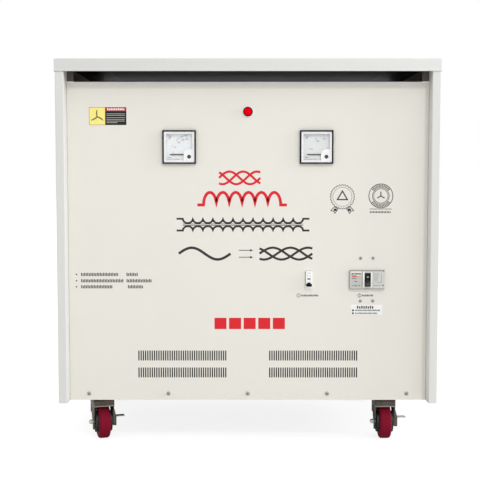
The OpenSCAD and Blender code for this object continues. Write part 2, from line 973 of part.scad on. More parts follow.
module tread() color(wheel_red) {
    half = wheel_w / 2;
    r = wheel_d / 2;
    at_axle()
        rotate([0, 90, 0])
            rotate_extrude()
                difference() {
                    union() {
                        translate([rim_d / 2, -half + shoulder_r])
                            square([r - rim_d / 2, wheel_w - 2 * shoulder_r]);
                        translate([rim_d / 2, -half])
                            square([r - rim_d / 2 - shoulder_r, wheel_w]);
                        for (side = [-1, 1])
                            translate([r - shoulder_r, side * (half - shoulder_r)])
                                circle(shoulder_r);
                    }
                    translate([0, -half])
                        square([rim_d / 2, wheel_w]);
                }
}

// The wheel centre: a rim inside the tread, a thin web and a long hub
module hub() color(wheel_red)
    at_axle()
        rotate([0, 90, 0])
            rotate_extrude()
                difference() {
                    union() {
                        translate([rim_d / 2 - 6, -wheel_w / 2])
                            square([6, wheel_w]);
                        translate([hub_boss_d / 4, -hub_web / 2])
                            square([(rim_d - hub_boss_d / 2) / 2 - 1, hub_web]);
                        translate([0, -hub_w / 2])
                            square([hub_boss_d / 2, hub_w]);
                    }
                    translate([-1, -hub_w])
                        square([1 + axle_d / 2 + run_gap, 2 * hub_w]);
                }

top_cover();
left_side_panel();
right_side_panel();
front_panel();
back_panel();
base_frame();
bottom_plate();
front_screws();
back_screws();
caster_plates();

at_meter(-1) meter_case();  // left_meter_case
at_meter(-1) meter_dial();  // left_meter_dial
at_meter(-1) meter_rim();  // left_meter_rim
at_meter(-1) meter_cover();  // left_meter_cover
at_meter(-1) meter_glass();  // left_meter_glass
at_meter(-1) meter_needle();  // left_meter_needle
at_meter(1) meter_case();  // right_meter_case
at_meter(1) meter_dial();  // right_meter_dial
at_meter(1) meter_rim();  // right_meter_rim
at_meter(1) meter_cover();  // right_meter_cover
at_meter(1) meter_glass();  // right_meter_glass
at_meter(1) meter_needle();  // right_meter_needle

lamp_bezel();
lamp_lens();
small_breaker();
small_breaker_toggle();
breaker_rail();
main_breaker();
main_breaker_toggle();
main_breaker_screws();

transformer_core();
transformer_coils();
core_clamps();
tie_rods();

at_fork(-1, -1) fork();  // front_left_fork
at_fork(-1, -1) tread();  // front_left_tread
at_fork(-1, -1) hub();  // front_left_hub
at_fork(-1, -1) axle();  // front_left_axle
at_fork(-1, -1) pedal();  // front_left_pedal
at_fork(-1, 1) fork();  // front_right_fork
at_fork(-1, 1) tread();  // front_right_tread
at_fork(-1, 1) hub();  // front_right_hub
at_fork(-1, 1) axle();  // front_right_axle
at_fork(-1, 1) pedal();  // front_right_pedal
at_fork(1, -1) fork();  // back_left_fork
at_fork(1, -1) tread();  // back_left_tread
at_fork(1, -1) hub();  // back_left_hub
at_fork(1, -1) axle();  // back_left_axle
at_fork(1, -1) pedal();  // back_left_pedal
at_fork(1, 1) fork();  // back_right_fork
at_fork(1, 1) tread();  // back_right_tread
at_fork(1, 1) hub();  // back_right_hub
at_fork(1, 1) axle();  // back_right_axle
at_fork(1, 1) pedal();  // back_right_pedal
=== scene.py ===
import json
import math

import bmesh
import bpy
from mathutils import Matrix, Vector


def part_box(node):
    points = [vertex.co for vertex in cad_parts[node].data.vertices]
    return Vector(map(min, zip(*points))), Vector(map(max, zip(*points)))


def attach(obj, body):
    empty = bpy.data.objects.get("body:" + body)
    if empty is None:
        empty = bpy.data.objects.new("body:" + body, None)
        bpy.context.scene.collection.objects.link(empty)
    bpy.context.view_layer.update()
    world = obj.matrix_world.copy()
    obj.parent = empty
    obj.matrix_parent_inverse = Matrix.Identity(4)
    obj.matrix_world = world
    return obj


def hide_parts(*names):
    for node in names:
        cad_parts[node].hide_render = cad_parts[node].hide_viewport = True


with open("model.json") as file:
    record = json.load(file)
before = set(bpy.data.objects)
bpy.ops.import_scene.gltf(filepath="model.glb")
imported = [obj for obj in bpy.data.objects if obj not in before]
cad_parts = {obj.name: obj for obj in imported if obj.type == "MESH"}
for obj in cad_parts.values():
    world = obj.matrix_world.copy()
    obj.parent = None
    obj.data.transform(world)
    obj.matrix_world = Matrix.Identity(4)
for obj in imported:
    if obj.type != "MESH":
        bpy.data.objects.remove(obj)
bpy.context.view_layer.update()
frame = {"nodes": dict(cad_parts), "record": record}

NODES = frame["nodes"]
MM = 0.001
CORNERS = ("front_left", "front_right", "back_left", "back_right")
SIDES = ("left", "right")

# ---------------------------------------------------------------- helpers


def linear(colour):
    """Turns an sRGB hex colour into the linear RGBA that a shader takes."""
    parts = [int(colour[i:i + 2], 16) / 255 for i in (1, 3, 5)]
    curve = [c / 12.92 if c <= 0.04045 else ((c + 0.055) / 1.055) ** 2.4 for c in parts]
    return (*curve, 1.0)


def add(tree, kind, values=None, **settings):
    """Adds a node. settings are its properties; values are its inputs, each a value or a socket to link."""
    node = tree.nodes.new(kind)
    for name, value in settings.items():
        setattr(node, name, value)
    for name, value in (values or {}).items():
        if isinstance(value, bpy.types.NodeSocket):
            tree.links.new(value, node.inputs[name])
        else:
            node.inputs[name].default_value = value
    return node


def place_on(name, shape, material, body="cabinet", stands_for=(), smooth=None):
    """Makes a finished piece from a bmesh: closed, faces outwards, riding on its body."""
    bmesh.ops.remove_doubles(shape, verts=shape.verts, dist=1e-6)
    bmesh.ops.recalc_face_normals(shape, faces=shape.faces)
    mesh = bpy.data.meshes.new(name)
    shape.to_mesh(mesh)
    shape.free()
    return settle(name, mesh, material, body, stands_for, smooth)


def settle(name, mesh, material, body="cabinet", stands_for=(), smooth=None):
    """Puts a mesh in the scene as a piece that rides on a body."""
    piece = bpy.data.objects.new(name, mesh)
    bpy.context.scene.collection.objects.link(piece)
    if material:
        mesh.materials.clear()
        mesh.materials.append(material)
    if smooth:
        mesh.shade_smooth()
        mesh.set_sharp_from_angle(angle=math.radians(smooth))
    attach(piece, body)
    if stands_for:
        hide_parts(*stands_for)
    return piece


def solids_of(node):
    """The lowest and highest corner of each separate solid in a CAD node, from left to right."""
    shape = bmesh.new()
    shape.from_mesh(NODES[node].data)
    bmesh.ops.remove_doubles(shape, verts=shape.verts, dist=1e-6)
    todo, found = set(shape.verts), []
    while todo:
        group, edge = set(), [todo.pop()]
        while edge:
            vert = edge.pop()
            group.add(vert)
            for link in vert.link_edges:
                other = link.other_vert(vert)
                if other in todo:
                    todo.remove(other)
                    edge.append(other)
        points = [v.co for v in group]
        found.append([Vector([pick(p[k] for p in points) for k in range(3)]) for pick in (min, max)])
    shape.free()
    return sorted(found, key=lambda pair: tuple(round(c, 4) for c in pair[0]))


def skin(shape, rows):
    """Joins rows of points round a piece, each to the next, with a band of faces."""
    for near, far in zip(rows, rows[1:]):
        for i in range(len(near)):
            j = (i + 1) % len(near)
            shape.faces.new((near[i], near[j], far[j], far[i]))


def polar(cx, cz, radius, degrees):
    """The point at a distance and an angle from a centre. The angle starts from the right."""
    a = math.radians(degrees)
    return cx + radius * math.cos(a), cz + radius * math.sin(a)


def arc(cx, cz, radius, start, end, steps):
    """Points on an arc, with angles in degrees from the right."""
    return [polar(cx, cz, radius, start + (end - start) * i / steps) for i in range(steps + 1)]


def rounded(half_x, half_y, radius, steps):
    """Points round a rectangle about the origin, with each corner rounded in a number of steps."""
    points = []
    for right, back, start in ((1, 1, 0), (-1, 1, 90), (-1, -1, 180), (1, -1, 270)):
        points += arc(right * (half_x - radius), back * (half_y - radius), radius, start, start + 90, steps)
    return points


# ---------------------------------------------------------------- materials


def finish(name, colour, shade, grain, rough, swing=0.06, bump=0.0, metallic=0.0,
           stretch=(1, 1, 1), **shader_values):
    """A finish whose tone drifts between two colours. grain is the size of the drift in millimetres,
    and the same noise moves the roughness by swing and lifts the surface by bump millimetres."""
    material = bpy.data.materials.new(name)
    material.use_nodes = True
    tree = material.node_tree
    shader = tree.nodes["Principled BSDF"]
    shader.inputs["Metallic"].default_value = metallic
    for key, value in shader_values.items():
        shader.inputs[key.replace("_", " ")].default_value = value
    place = add(tree, "ShaderNodeTexCoord").outputs["Object"]
    stretched = add(tree, "ShaderNodeMapping", {"Vector": place, "Scale": stretch}).outputs[0]
    cloud = add(tree, "ShaderNodeTexNoise",
                {"Vector": stretched, "Scale": 1 / (grain * MM), "Detail": 4.0, "Roughness": 0.55})
    tone = add(tree, "ShaderNodeMix", {0: cloud.outputs["Fac"], 6: linear(colour), 7: linear(shade)},
               data_type="RGBA")
    sheen = add(tree, "ShaderNodeMapRange",
                {"Value": cloud.outputs["Fac"], "From Min": 0.3, "From Max": 0.7,
                 "To Min": rough - swing, "To Max": rough + swing})
    tree.links.new(tone.outputs[2], shader.inputs["Base Color"])
    tree.links.new(sheen.outputs[0], shader.inputs["Roughness"])
    if bump:
        relief = add(tree, "ShaderNodeBump", {"Height": cloud.outputs["Fac"], "Distance": bump * MM,
                                              "Strength": 1.0})
        tree.links.new(relief.outputs["Normal"], shader.inputs["Normal"])
    return material, tree, shader, place, tone.outputs[2]


def within(tree, place, lo, hi):
    """1 inside a box between two corners, and 0 outside it."""
    axes = add(tree, "ShaderNodeSeparateXYZ", {0: place})
    product = None
    for axis, low, high in zip("XYZ", lo, hi):
        for kind, limit in (("GREATER_THAN", low), ("LESS_THAN", high)):
            test = add(tree, "ShaderNodeMath", {0: axes.outputs[axis], 1: limit}, operation=kind).outputs[0]
            product = test if product is None else add(
                tree, "ShaderNodeMath", {0: product, 1: test}, operation="MULTIPLY").outputs[0]
    return product


def masked(material, place, tone, box, colour):
    """Gives the surface inside a box another colour. Returns the new tone."""
    tree = material.node_tree
    mask = within(tree, place, *box)
    mixed = add(tree, "ShaderNodeMix", {0: mask, 6: tone, 7: linear(colour)}, data_type="RGBA").outputs[2]
    tree.links.new(mixed, tree.nodes["Principled BSDF"].inputs["Base Color"])
    return mixed


def enamel(name, colour, shade, parts, specks=False):
    """Baked enamel on sheet steel: satin, with a faint orange peel about 1.5 mm across. parts are boxes
    with the colour of the surface inside them. specks adds the pinkish dust caught in the paint, a
    grain about every 40 mm, in patches about 0.1 m across."""
    material, tree, shader, place, tone = finish(name, colour, shade, 160, 0.5, 0.03)
    peel = add(tree, "ShaderNodeTexNoise", {"Vector": place, "Scale": 650.0, "Detail": 2.0})
    relief = add(tree, "ShaderNodeBump", {"Height": peel.outputs["Fac"], "Distance": 0.03 * MM,
                                          "Strength": 1.0})
    tree.links.new(relief.outputs["Normal"], shader.inputs["Normal"])
    if specks:
        dust = add(tree, "ShaderNodeTexVoronoi", {"Vector": place, "Scale": 26.0})
        size = add(tree, "ShaderNodeTexNoise", {"Vector": place, "Scale": 9.0})
        reach = add(tree, "ShaderNodeMapRange", {"Value": size.outputs["Fac"], "From Min": 0.5,
                                                 "From Max": 0.75, "To Min": 0.0, "To Max": 0.13})
        near = add(tree, "ShaderNodeMath", {0: reach.outputs[0], 1: dust.outputs["Distance"]},
                   operation="SUBTRACT")
        grey = add(tree, "ShaderNodeMapRange", {"Value": near.outputs[0], "From Min": 0.0,
                                                "From Max": 0.06, "To Min": 0.0, "To Max": 0.55})
        tone = add(tree, "ShaderNodeMix", {0: grey.outputs[0], 6: tone, 7: linear("#D9C9BE")},
                   data_type="RGBA").outputs[2]
    for box, part_colour in parts:
        tone = masked(material, place, tone, box, part_colour)
    return material


def banded(made, pitch, dark, lift, direction, **wave):
    """Draws soft dark lines across a finish, one in each pitch, and lifts the surface with them. A wave
    texture of scale 1 has twenty radians of its wave in a metre."""
    material, tree, shader, place, tone = made
    lines = add(tree, "ShaderNodeTexWave", {"Vector": place, "Scale": math.tau / 20 / pitch, **wave},
                bands_direction=direction).outputs["Fac"]
    lined = add(tree, "ShaderNodeMix", {0: lines, 6: tone, 7: linear(dark)}, data_type="RGBA")
    relief = add(tree, "ShaderNodeBump", {"Height": lines, "Distance": lift})
    tree.links.new(lined.outputs[2], shader.inputs["Base Color"])
    tree.links.new(relief.outputs["Normal"], shader.inputs["Normal"])
    return material


def laminated_steel():
    """Stacked silicon-steel sheets: the edges show as fine lines along the depth. The sheets are
    0.35 mm thick, and the lines are drawn 5.92 mm apart, so that they show."""
    made = finish("silicon steel laminations", "#5E5F61", "#4A4744", 30, 0.45, 0.08, metallic=1.0)
    return banded(made, 5.92 * MM, "#333130", 0.15 * MM, "Y", Distortion=0.4, Detail=1.0)


def enamelled_winding():
    """Varnished copper winding: turns of flat wire under amber varnish. The turns are 8 mm apart, and
    they are drawn 15.8 mm apart, so that they show."""
    made = finish("varnished copper winding", "#7A4023", "#5B2E18", 40, 0.35, 0.08,
                  Coat_Weight=0.4, Coat_Roughness=0.2)
    return banded(made, 15.8 * MM, "#2E1A10", 1.0 * MM, "Z", Distortion=0.15)


def ink(name, colour, shade, rough=0.5):
    """Screen-printing ink: even and nearly matt, with a slight drift where it dried thinner."""
    return finish(name, colour, shade, 9, rough, 0.05)[0]


def clear_acrylic():
    """Clear acrylic window: nearly all light goes through, and a thin gloss stays on top."""
    return finish("clear acrylic", "#F4F8FA", "#EDF3F6", 60, 0.06, 0.02, Alpha=0.04)[0]


PANEL_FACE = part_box("front_panel")[0].y
PANEL_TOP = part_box("front_panel")[1].z
BACK_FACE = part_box("back_panel")[1].y
SIDE_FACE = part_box("right_side_panel")[1].x
LID_LO, LID_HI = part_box("top_cover")


def space(half_x, half_y, top):
    """The corners of the space that the sheets enclose."""
    return (-half_x, -half_y, -1.0), (half_x, half_y, top)


INSIDE_PANELS = space(SIDE_FACE - 1.0 * MM, BACK_FACE - 0.7 * MM, LID_HI.z)
INSIDE_SIDES = space(SIDE_FACE - 1.0 * MM, BACK_FACE - 2.5 * MM, LID_HI.z)
INSIDE_LID = space(LID_HI.x - 2.2 * MM, LID_HI.y - 2.2 * MM, LID_HI.z - 0.8 * MM)
# The lid's underside is painted paler over its last 0.12 m at both ends, as painted light.
LID_END = 0.43
LID_LEFT = (INSIDE_LID[0], (-LID_END, *INSIDE_LID[1][1:]))
LID_RIGHT = ((LID_END, *INSIDE_LID[0][1:]), INSIDE_LID[1])
# The inner end of the side panel's tab, beside the vent gap, painted dark brown as painted shade.
TAB_REACH = 0.5195
TAB_END = ((-TAB_REACH, PANEL_FACE + 0.5 * MM, PANEL_TOP - 0.5 * MM),
           (TAB_REACH, PANEL_FACE + 2.5 * MM, LID_HI.z))
# The bend along the top of the front panel, painted near white: a painted highlight.
TOP_BEND_HIGHLIGHT = ((-SIDE_FACE, PANEL_FACE - 0.5 * MM, PANEL_TOP - 3.2 * MM),
            (SIDE_FACE, PANEL_FACE + 1.2 * MM, PANEL_TOP + 1.0 * MM))

# Inside the cabinet the sheets are painted darker for the shade in there, as painted shade: brown-grey on the
# panels, a paler brown-grey on the sides and nearly black on the lid.
SIDE_PAINT = enamel("baked enamel, light grey", "#DBDBD8", "#D7D8D5",
                    ((INSIDE_SIDES, "#A09286"), (TAB_END, "#5A5048")))
LID_PAINT = enamel("baked enamel, light grey, lid", "#DADAD7", "#D6D7D4",
                   ((INSIDE_LID, "#2D2D2F"), (LID_LEFT, "#62574F"), (LID_RIGHT, "#55504D")))
FRONT_PAINT = enamel("baked enamel, warm white", "#E9E6DD", "#E5E2D9",
                     ((INSIDE_PANELS, "#4C4640"), (TOP_BEND_HIGHLIGHT, "#FFFFFC")), specks=True)
# Angle steel under grey primer: matt, with a fine brushed drift.
PRIMER = finish("grey primer on angle steel", "#4B4C4C", "#3E3F3F", 25, 0.6, 0.08, 0.05)[0]
# Zinc-plated steel: bright and slightly mottled.
ZINC = finish("bright zinc plate", "#C9CBCC", "#A9ACAE", 4, 0.28, 0.08, 0.02, metallic=1.0)[0]
# Zinc-plated screws, duller than the sheet parts.
SCREW_ZINC = finish("dull zinc plate", "#B5B2AA", "#94918A", 2, 0.34, 0.08, 0.01, metallic=0.9)[0]
# The axle nuts, in a paler copy of the zinc: a painted highlight.
NUT_ZINC_HIGHLIGHT = finish("bright zinc plate, nuts", "#E6E6E4", "#CFCFCC", 3, 0.34, 0.06, 0.01, metallic=0.5)[0]
# Pressed fork steel: dark grey-brown zinc, with darker rolled streaks, a painted shadow along the top of the
# crown and a painted highlight along its lip.
FORK_STEEL, _, _, fork_place, fork_tone = finish("dull zinc on pressed steel", "#77726A", "#4E4A45", 14, 0.42,
                                                 0.12, 0.05, metallic=1.0, stretch=(1, 1, 0.4))
FORK_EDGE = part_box("front_left_fork")[1].z
# Bands across the crown, between two depths below its edge in millimetres: a dark brown painted shadow along
# the top edge, two darker bands, and a pale painted highlight along the lip.
for upper, lower, colour in ((-1.0, 3.4, "#4A302B"), (6.6, 9.0, "#57504A"), (11.6, 13.6, "#57504A"),
                             (16.4, 20.0, "#A9A298")):
    band = ((-1.0, -1.0, FORK_EDGE - lower * MM), (1.0, 1.0, FORK_EDGE - upper * MM))
    fork_tone = masked(FORK_STEEL, fork_place, fork_tone, band, colour)
# Aluminium paint on the brake pedals: pale and even.
PEDAL_PAINT = finish("aluminium paint", "#F4F3EE", "#E9E7E1", 5, 0.4, 0.06, 0.02)[0]
# Moulded phenolic, on the meter cases, the zero screws and parts of both levers: deep black, with
# hardly a sheen.
PHENOLIC = finish("black phenolic", "#060606", "#0B0B0C", 6, 0.55, 0.06, 0.01, Specular_IOR_Level=0.1)[0]
# The main lever's black polyamide, painted grey as a painted sheen, and smooth.
LEVER_BLACK_SHEEN = finish("black polyamide, painted sheen", "#2B2825", "#3A3633", 5, 0.45, 0.06, 0.01)[0]
# Thin lacquer on the needles: matt, and brown where it catches the light.
NEEDLE_LACQUER = finish("brown-black lacquer", "#4A3A30", "#3D2F27", 3, 0.6, 0.05,
                        Specular_IOR_Level=0.2)[0]
# Glossy moulded white on the meters' rims and covers, and satin pale grey on the main breaker.
WHITE_PLASTIC = finish("white moulded polystyrene", "#FEFEFD", "#FAFAF9", 20, 0.28, 0.05)[0]
GREY_PLASTIC, _, _, grey_place, grey_tone = finish("pale grey polyamide", "#D2D1CC", "#CBCAC5", 10, 0.45,
                                                   0.05, 0.01)
# The inside of the lever's slot in the main breaker is coloured near black.
NOSE_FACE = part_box("main_breaker")[0].y
SLOT_WIDE, SLOT_TALL, SLOT_DEEP, SLOT_MARGIN = 18.0 * MM, 40.0 * MM, 13.0 * MM, 0.2 * MM
lever_lo, lever_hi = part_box("main_breaker_toggle")
screws_lo, screws_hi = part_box("main_breaker_screws")
slot_x, slot_z = (lever_lo.x + lever_hi.x) / 2, (screws_lo.z + screws_hi.z) / 2
half_wide, half_tall = SLOT_WIDE / 2 + SLOT_MARGIN, SLOT_TALL / 2 + SLOT_MARGIN
masked(GREY_PLASTIC, grey_place, grey_tone,
       ((slot_x - half_wide, NOSE_FACE + SLOT_MARGIN / 2, slot_z - half_tall),
        (slot_x + half_wide, NOSE_FACE + SLOT_DEEP + SLOT_MARGIN, slot_z + half_tall)), "#0E0E0F")
# Matt paint on the dials. The right dial is painted duller than the left, as painted shade.
DIAL_PAINT, _, _, dial_place, dial_tone = finish("matt white dial paint", "#F8FBFC", "#F3F6F8", 15, 0.7, 0.04)
masked(DIAL_PAINT, dial_place, dial_tone, ((0.0, -1.0, 0.0), (1.0, 0.0, 2.0)), "#E9EBEB")

LENS_LO, LENS_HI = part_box("lamp_lens")
LENS_RADIUS = (LENS_HI.x - LENS_LO.x) / 2
LAMP_AXIS = ((LENS_LO.x + LENS_HI.x) / 2, 0.0, (LENS_LO.z + LENS_HI.z) / 2)


def ringed(made, start, end, near, far):
    """Changes the colour from near to far between two distances from the lens's rim, both in
    millimetres and counted outwards. Returns the share of far."""
    _, tree, shader, place, _ = made
    flat = add(tree, "ShaderNodeVectorMath", {0: place, 1: (1.0, 0.0, 1.0)}, operation="MULTIPLY").outputs[0]
    away = add(tree, "ShaderNodeVectorMath", {0: flat, 1: LAMP_AXIS}, operation="DISTANCE").outputs["Value"]
    share = add(tree, "ShaderNodeMapRange", {"Value": away, "From Min": LENS_RADIUS + start * MM,
                                             "From Max": LENS_RADIUS + end * MM}).outputs[0]
    mixed = add(tree, "ShaderNodeMix", {0: share, 6: near, 7: far}, data_type="RGBA").outputs[2]
    tree.links.new(mixed, shader.inputs["Base Color"])
    return share


def lens_red():
    """A red lens, lit through, whose rim is painted dark: a painted shadow where it sinks into its seat."""
    made = finish("red polycarbonate lens", "#DA0014", "#CC0010", 7, 0.5, 0.04, Specular_IOR_Level=0.0)
    material, tree, shader, _, tone = made
    share = ringed(made, -2.6, -1.4, tone, linear("#14080A"))
    lit = add(tree, "ShaderNodeMath", {0: 1.0, 1: share}, operation="SUBTRACT").outputs[0]
    glow = add(tree, "ShaderNodeMath", {0: lit, 1: 0.22}, operation="MULTIPLY").outputs[0]
    tree.links.new(glow, shader.inputs["Emission Strength"])
    shader.inputs["Emission Color"].default_value = linear("#E80018")
    return material


def bezel_chrome():
    """The lamp's plated ring, painted black along its inner edge round the lens: a painted shadow."""
    made = finish("satin chrome plate", "#FCFCFB", "#F1F1EF", 3, 0.3, 0.05, 0.01, metallic=0.3)
    ringed(made, 0.9, 1.3, linear("#101010"), made[4])
    return made[0]


CHROME = bezel_chrome()
RED_LENS = lens_red()
# Cast polyurethane tyres, matt and even, on wheel centres of satin black nylon.
TREAD = finish("dark red polyurethane", "#810D2A", "#770A25", 5, 0.65, 0.07, 0.03, Specular_IOR_Level=0.1)[0]
HUB = finish("black moulded nylon", "#232425", "#1B1C1D", 8, 0.5, 0.06, 0.02)[0]
ACRYLIC = clear_acrylic()
LAMINATIONS = laminated_steel()
WINDING = enamelled_winding()
# Printing inks, and label films, which shine a little more.
RED_INK = ink("red printing ink", "#E3001F", "#D4001C")
BLACK_INK = ink("black printing ink", "#231F20", "#2C2628")
DEEP_BLACK_INK = ink("deep black printing ink", "#08080A", "#0D0D0F", 0.7)
GREY_INK = ink("grey printing ink", "#6B6A68", "#767573")
DARK_INK = ink("charcoal printing ink", "#2A2928", "#323130")
YELLOW_INK = ink("yellow printing ink", "#FBF08C", "#F7EA82")
PALE_INK = ink("pale printing ink", "#B9B4AC", "#ADA89F")
DARK_RED_INK = ink("dark red printing ink", "#B51022", "#A90E1F")
WHITE_INK = ink("white printing ink", "#F4F4F2", "#EDEDEB")
LABEL_FILM = ink("pale label film", "#F4F5F3", "#F0F1EF", 0.35)
LABEL_GREY = ink("grey label film", "#C3C3BF", "#BDBDB9", 0.35)
LABEL_PALE = ink("light grey label film", "#D2D2CE", "#CCCCC8", 0.35)
# Dark grey for the painted shadow along the breakers' edges, and for the lines beside the ribs.
SHADOW_AND_PARTING_GREY = ink("dark grey shadow and parting line", "#8E8C87", "#878580")

# The finish of each CAD node that keeps its own shape.
CAD_FINISHES = {
    "left_side_panel": SIDE_PAINT, "right_side_panel": SIDE_PAINT,
    "front_panel": FRONT_PAINT, "back_panel": FRONT_PAINT, "base_frame": PRIMER, "bottom_plate": PRIMER,
    "caster_plates": ZINC, "lamp_bezel": CHROME, "lamp_lens": RED_LENS,
    "small_breaker": WHITE_PLASTIC, "breaker_rail": ZINC, "main_breaker": GREY_PLASTIC,
    "transformer_core": LAMINATIONS, "transformer_coils": WINDING,
    "core_clamps": PRIMER, "tie_rods": ZINC,
}
for side in SIDES:
    CAD_FINISHES.update({
        side + "_meter_case": PHENOLIC, side + "_meter_dial": DIAL_PAINT,
        side + "_meter_rim": WHITE_PLASTIC, side + "_meter_cover": WHITE_PLASTIC,
        side + "_meter_glass": ACRYLIC})
for corner in CORNERS:
    CAD_FINISHES.update({
        corner + "_fork": FORK_STEEL, corner + "_tread": TREAD, corner + "_hub": HUB,
        corner + "_axle": ZINC, corner + "_pedal": PEDAL_PAINT})
for node, material in CAD_FINISHES.items():
    NODES[node].data.materials.clear()
    NODES[node].data.materials.append(material)

# ---------------------------------------------------------------- printed marks

INK_PROUD, INK_SUNK, FILM = 0.15 * MM, 0.05 * MM, 0.10 * MM


def slab(shape, front, back, closed):
    """Closes the space between two sheets of points, each given as its left and its right edge."""
    (front_l, front_r), (back_l, back_r) = front, back
    count = len(front_l)
    for i in range(count if closed else count - 1):
        j = (i + 1) % count
        for loop in ((front_l[i], front_l[j], front_r[j], front_r[i]),
                     (back_l[i], back_r[i], back_r[j], back_l[j]),
                     (front_l[i], back_l[i], back_l[j], front_l[j]),
                     (front_r[i], front_r[j], back_r[j], back_r[i])):
            shape.faces.new(loop)
    if not closed:
        for i in (0, count - 1):
            shape.faces.new((front_l[i], front_r[i], back_r[i], back_l[i]))


def shell(shape, left, right, face, closed=False, out=INK_PROUD):
    """A thin closed shell between two edges, whose points are (x, z), standing on the plane y = face."""
    front, back = [[[shape.verts.new((x, y, z)) for x, z in edge] for edge in (left, right)]
                   for y in (face - out, face + INK_SUNK)]
    slab(shape, front, back, closed)


def bar(shape, x0, x1, z0, z1, face, out=INK_PROUD):
    """A plain printed rectangle."""
    shell(shape, [(x0, z0), (x0, z1)], [(x1, z0), (x1, z1)], face, out=out)


def stroke(shape, path, width, face, closed=False, out=INK_PROUD):
    """A printed line of one width along a path of (x, z) points, with mitred turns."""
    left, right, count = [], [], len(path)
    points = [Vector(p) for p in path]
    for i, point in enumerate(points):
        into = point - points[i - 1] if i or closed else points[1] - point
        out_of = points[(i + 1) % count] - point if i < count - 1 or closed else into
        into, out_of = into.normalized(), out_of.normalized()
        along = (into + out_of).normalized()
        across = Vector((-along.y, along.x))
        reach = width / 2 / max(0.5, across.dot(Vector((-into.y, into.x))))
        left.append(tuple(point + across * reach))
        right.append(tuple(point - across * reach))
    shell(shape, left, right, face, closed, out)


def ring(shape, cx, cz, radius, width, face, sides=40, out=INK_PROUD):
    """A printed circle."""
    stroke(shape, arc(cx, cz, radius, 0, 360, sides)[:-1], width, face, True, out)


def spot(shape, cx, cz, radius, face, sides=16):
    """A filled round mark."""
    front, back = [[shape.verts.new((x, y, z)) for x, z in arc(cx, cz, radius, 180, 540, sides)[:-1]]
                   for y in (face - INK_PROUD, face + INK_SUNK)]
    skin(shape, (front, back))
    shape.faces.new(front)
    shape.faces.new(back)


def wave(x0, x1, z, height, shift=0.0):
    """Points on one full sine wave from x0 to x1. shift is in degrees."""
    steps = 28
    return [(x0 + (x1 - x0) * i / steps,
             z + height / 2 * math.sin(math.tau * i / steps + math.radians(shift)))
            for i in range(steps + 1)]


def loops(x0, x1, z, height, count, up=True):
    """Points along a row of winding humps, as in the sign for a coil."""
    pitch, steps = (x1 - x0) / count, 10
    points = []
    for k in range(count):
        for i in range(1 if k else 0, steps + 1):
            a = math.pi * i / steps
            lift = math.sin(a) * height * (1 if up else -1)
            points.append((x0 + pitch * (k + 0.5) - math.cos(a) * pitch / 2, z + lift))
    return points


def dashes(shape, x0, x1, z, height, face, pitch=4.6 * MM, share=0.62):
    """A row of small upright blocks that fills a line the way small print does, and says nothing."""
    count = max(1, round((x1 - x0) / pitch))
    step = (x1 - x0) / count
    for i in range(count):
        tall = height * (1.0, 0.82, 1.0, 0.9)[i % 4]
        left = x0 + step * i
        bar(shape, left, left + step * share, z - height / 2, z - height / 2 + tall, face)


def glyphs(shape, text, size, x, z, face):
    """Numbers, as closed raised shapes centred on a point."""
    curve = bpy.data.curves.new("glyphs", "FONT")
    curve.body, curve.size, curve.resolution_u = text, size, 2
    curve.extrude = (INK_PROUD + INK_SUNK) / 2
    curve.align_x, curve.align_y = "CENTER", "CENTER"
    holder = bpy.data.objects.new("glyphs", curve)
    mesh = bpy.data.meshes.new_from_object(holder)
    depth = face + (INK_SUNK - INK_PROUD) / 2
    mesh.transform(Matrix.Translation((x, depth, z)) @ Matrix.Rotation(math.pi / 2, 4, "X"))
    shape.from_mesh(mesh)
    bpy.data.objects.remove(holder)
    bpy.data.curves.remove(curve)
    bpy.data.meshes.remove(mesh)


def phase_waves(shape, x0, x1, z, height, width, face):
    """Three sine waves a third of a turn apart, the sign for three-phase supply. Each stands a
    little prouder than the one before it, so that their crossings stay clean."""
    for k in range(3):
        stroke(shape, wave(x0, x1, z, height - width, -120 * k), width, face,
               out=INK_PROUD + 0.03 * MM * k)


def place_print(prefix, *parts):
    """Places printed shapes. Each is given as a word that ends its name, the shape and its ink."""
    for word, shape, material in parts:
        place_on(prefix + word, shape, material)


def diagrams(red, black, grey):
    """Electrical signs in red and black, three rows of small print and a row of red squares."""
    face = PANEL_FACE
    # Three-phase waves over a coil, both in red.
    coil_z = 0.6985
    phase_waves(red, -0.083, 0.036, 0.7765, 0.043, 0.0065, face)
    stroke(red, [(-0.146, coil_z)] + loops(-0.128, 0.095, coil_z, 0.0365, 6) + [(0.113, coil_z)],
           0.0085, face)
    # A transformer: two windings on either side of a core of two lines.
    for up, z in ((False, 0.6585), (True, 0.6245)):
        stroke(black, [(-0.206, z)] + loops(-0.188, 0.160, z, 0.0125, 12, up) + [(0.178, z)], 0.0055, face)
    for z in (0.6435, 0.6395):
        bar(black, -0.188, 0.160, z - 0.0009, z + 0.0009, face)
    # One wave in, two arrows, three waves out.
    row_z = 0.5575
    stroke(black, wave(-0.200, -0.050, row_z, 0.034), 0.0075, face)
    phase_waves(black, 0.034, 0.187, row_z, 0.041, 0.0065, face)
    for z in (0.567, 0.547):
        bar(black, -0.026, 0.010, z - 0.0010, z + 0.0010, face)
        shell(black, [(0.007, z + 0.0038), (0.015, z)], [(0.007, z - 0.0038), (0.015, z - 0.0001)], face)
    # The small print, with a bullet before each row.
    for z, first, second in ((0.497, -0.375, (-0.352, -0.318)), (0.4785, -0.360, (-0.352, -0.278)),
                             (0.461, -0.392, (-0.348, -0.303))):
        bar(grey, -0.4995, -0.4955, z - 0.002, z + 0.002, face)
        dashes(grey, -0.484, first, z, 0.0095, face)
        dashes(grey, *second, z, 0.0095, face)
    square, pitch = 0.035, 0.0425
    for k in range(5):
        left = -0.097 + pitch * k
        bar(red, left, left + square, 0.337, 0.370, face)


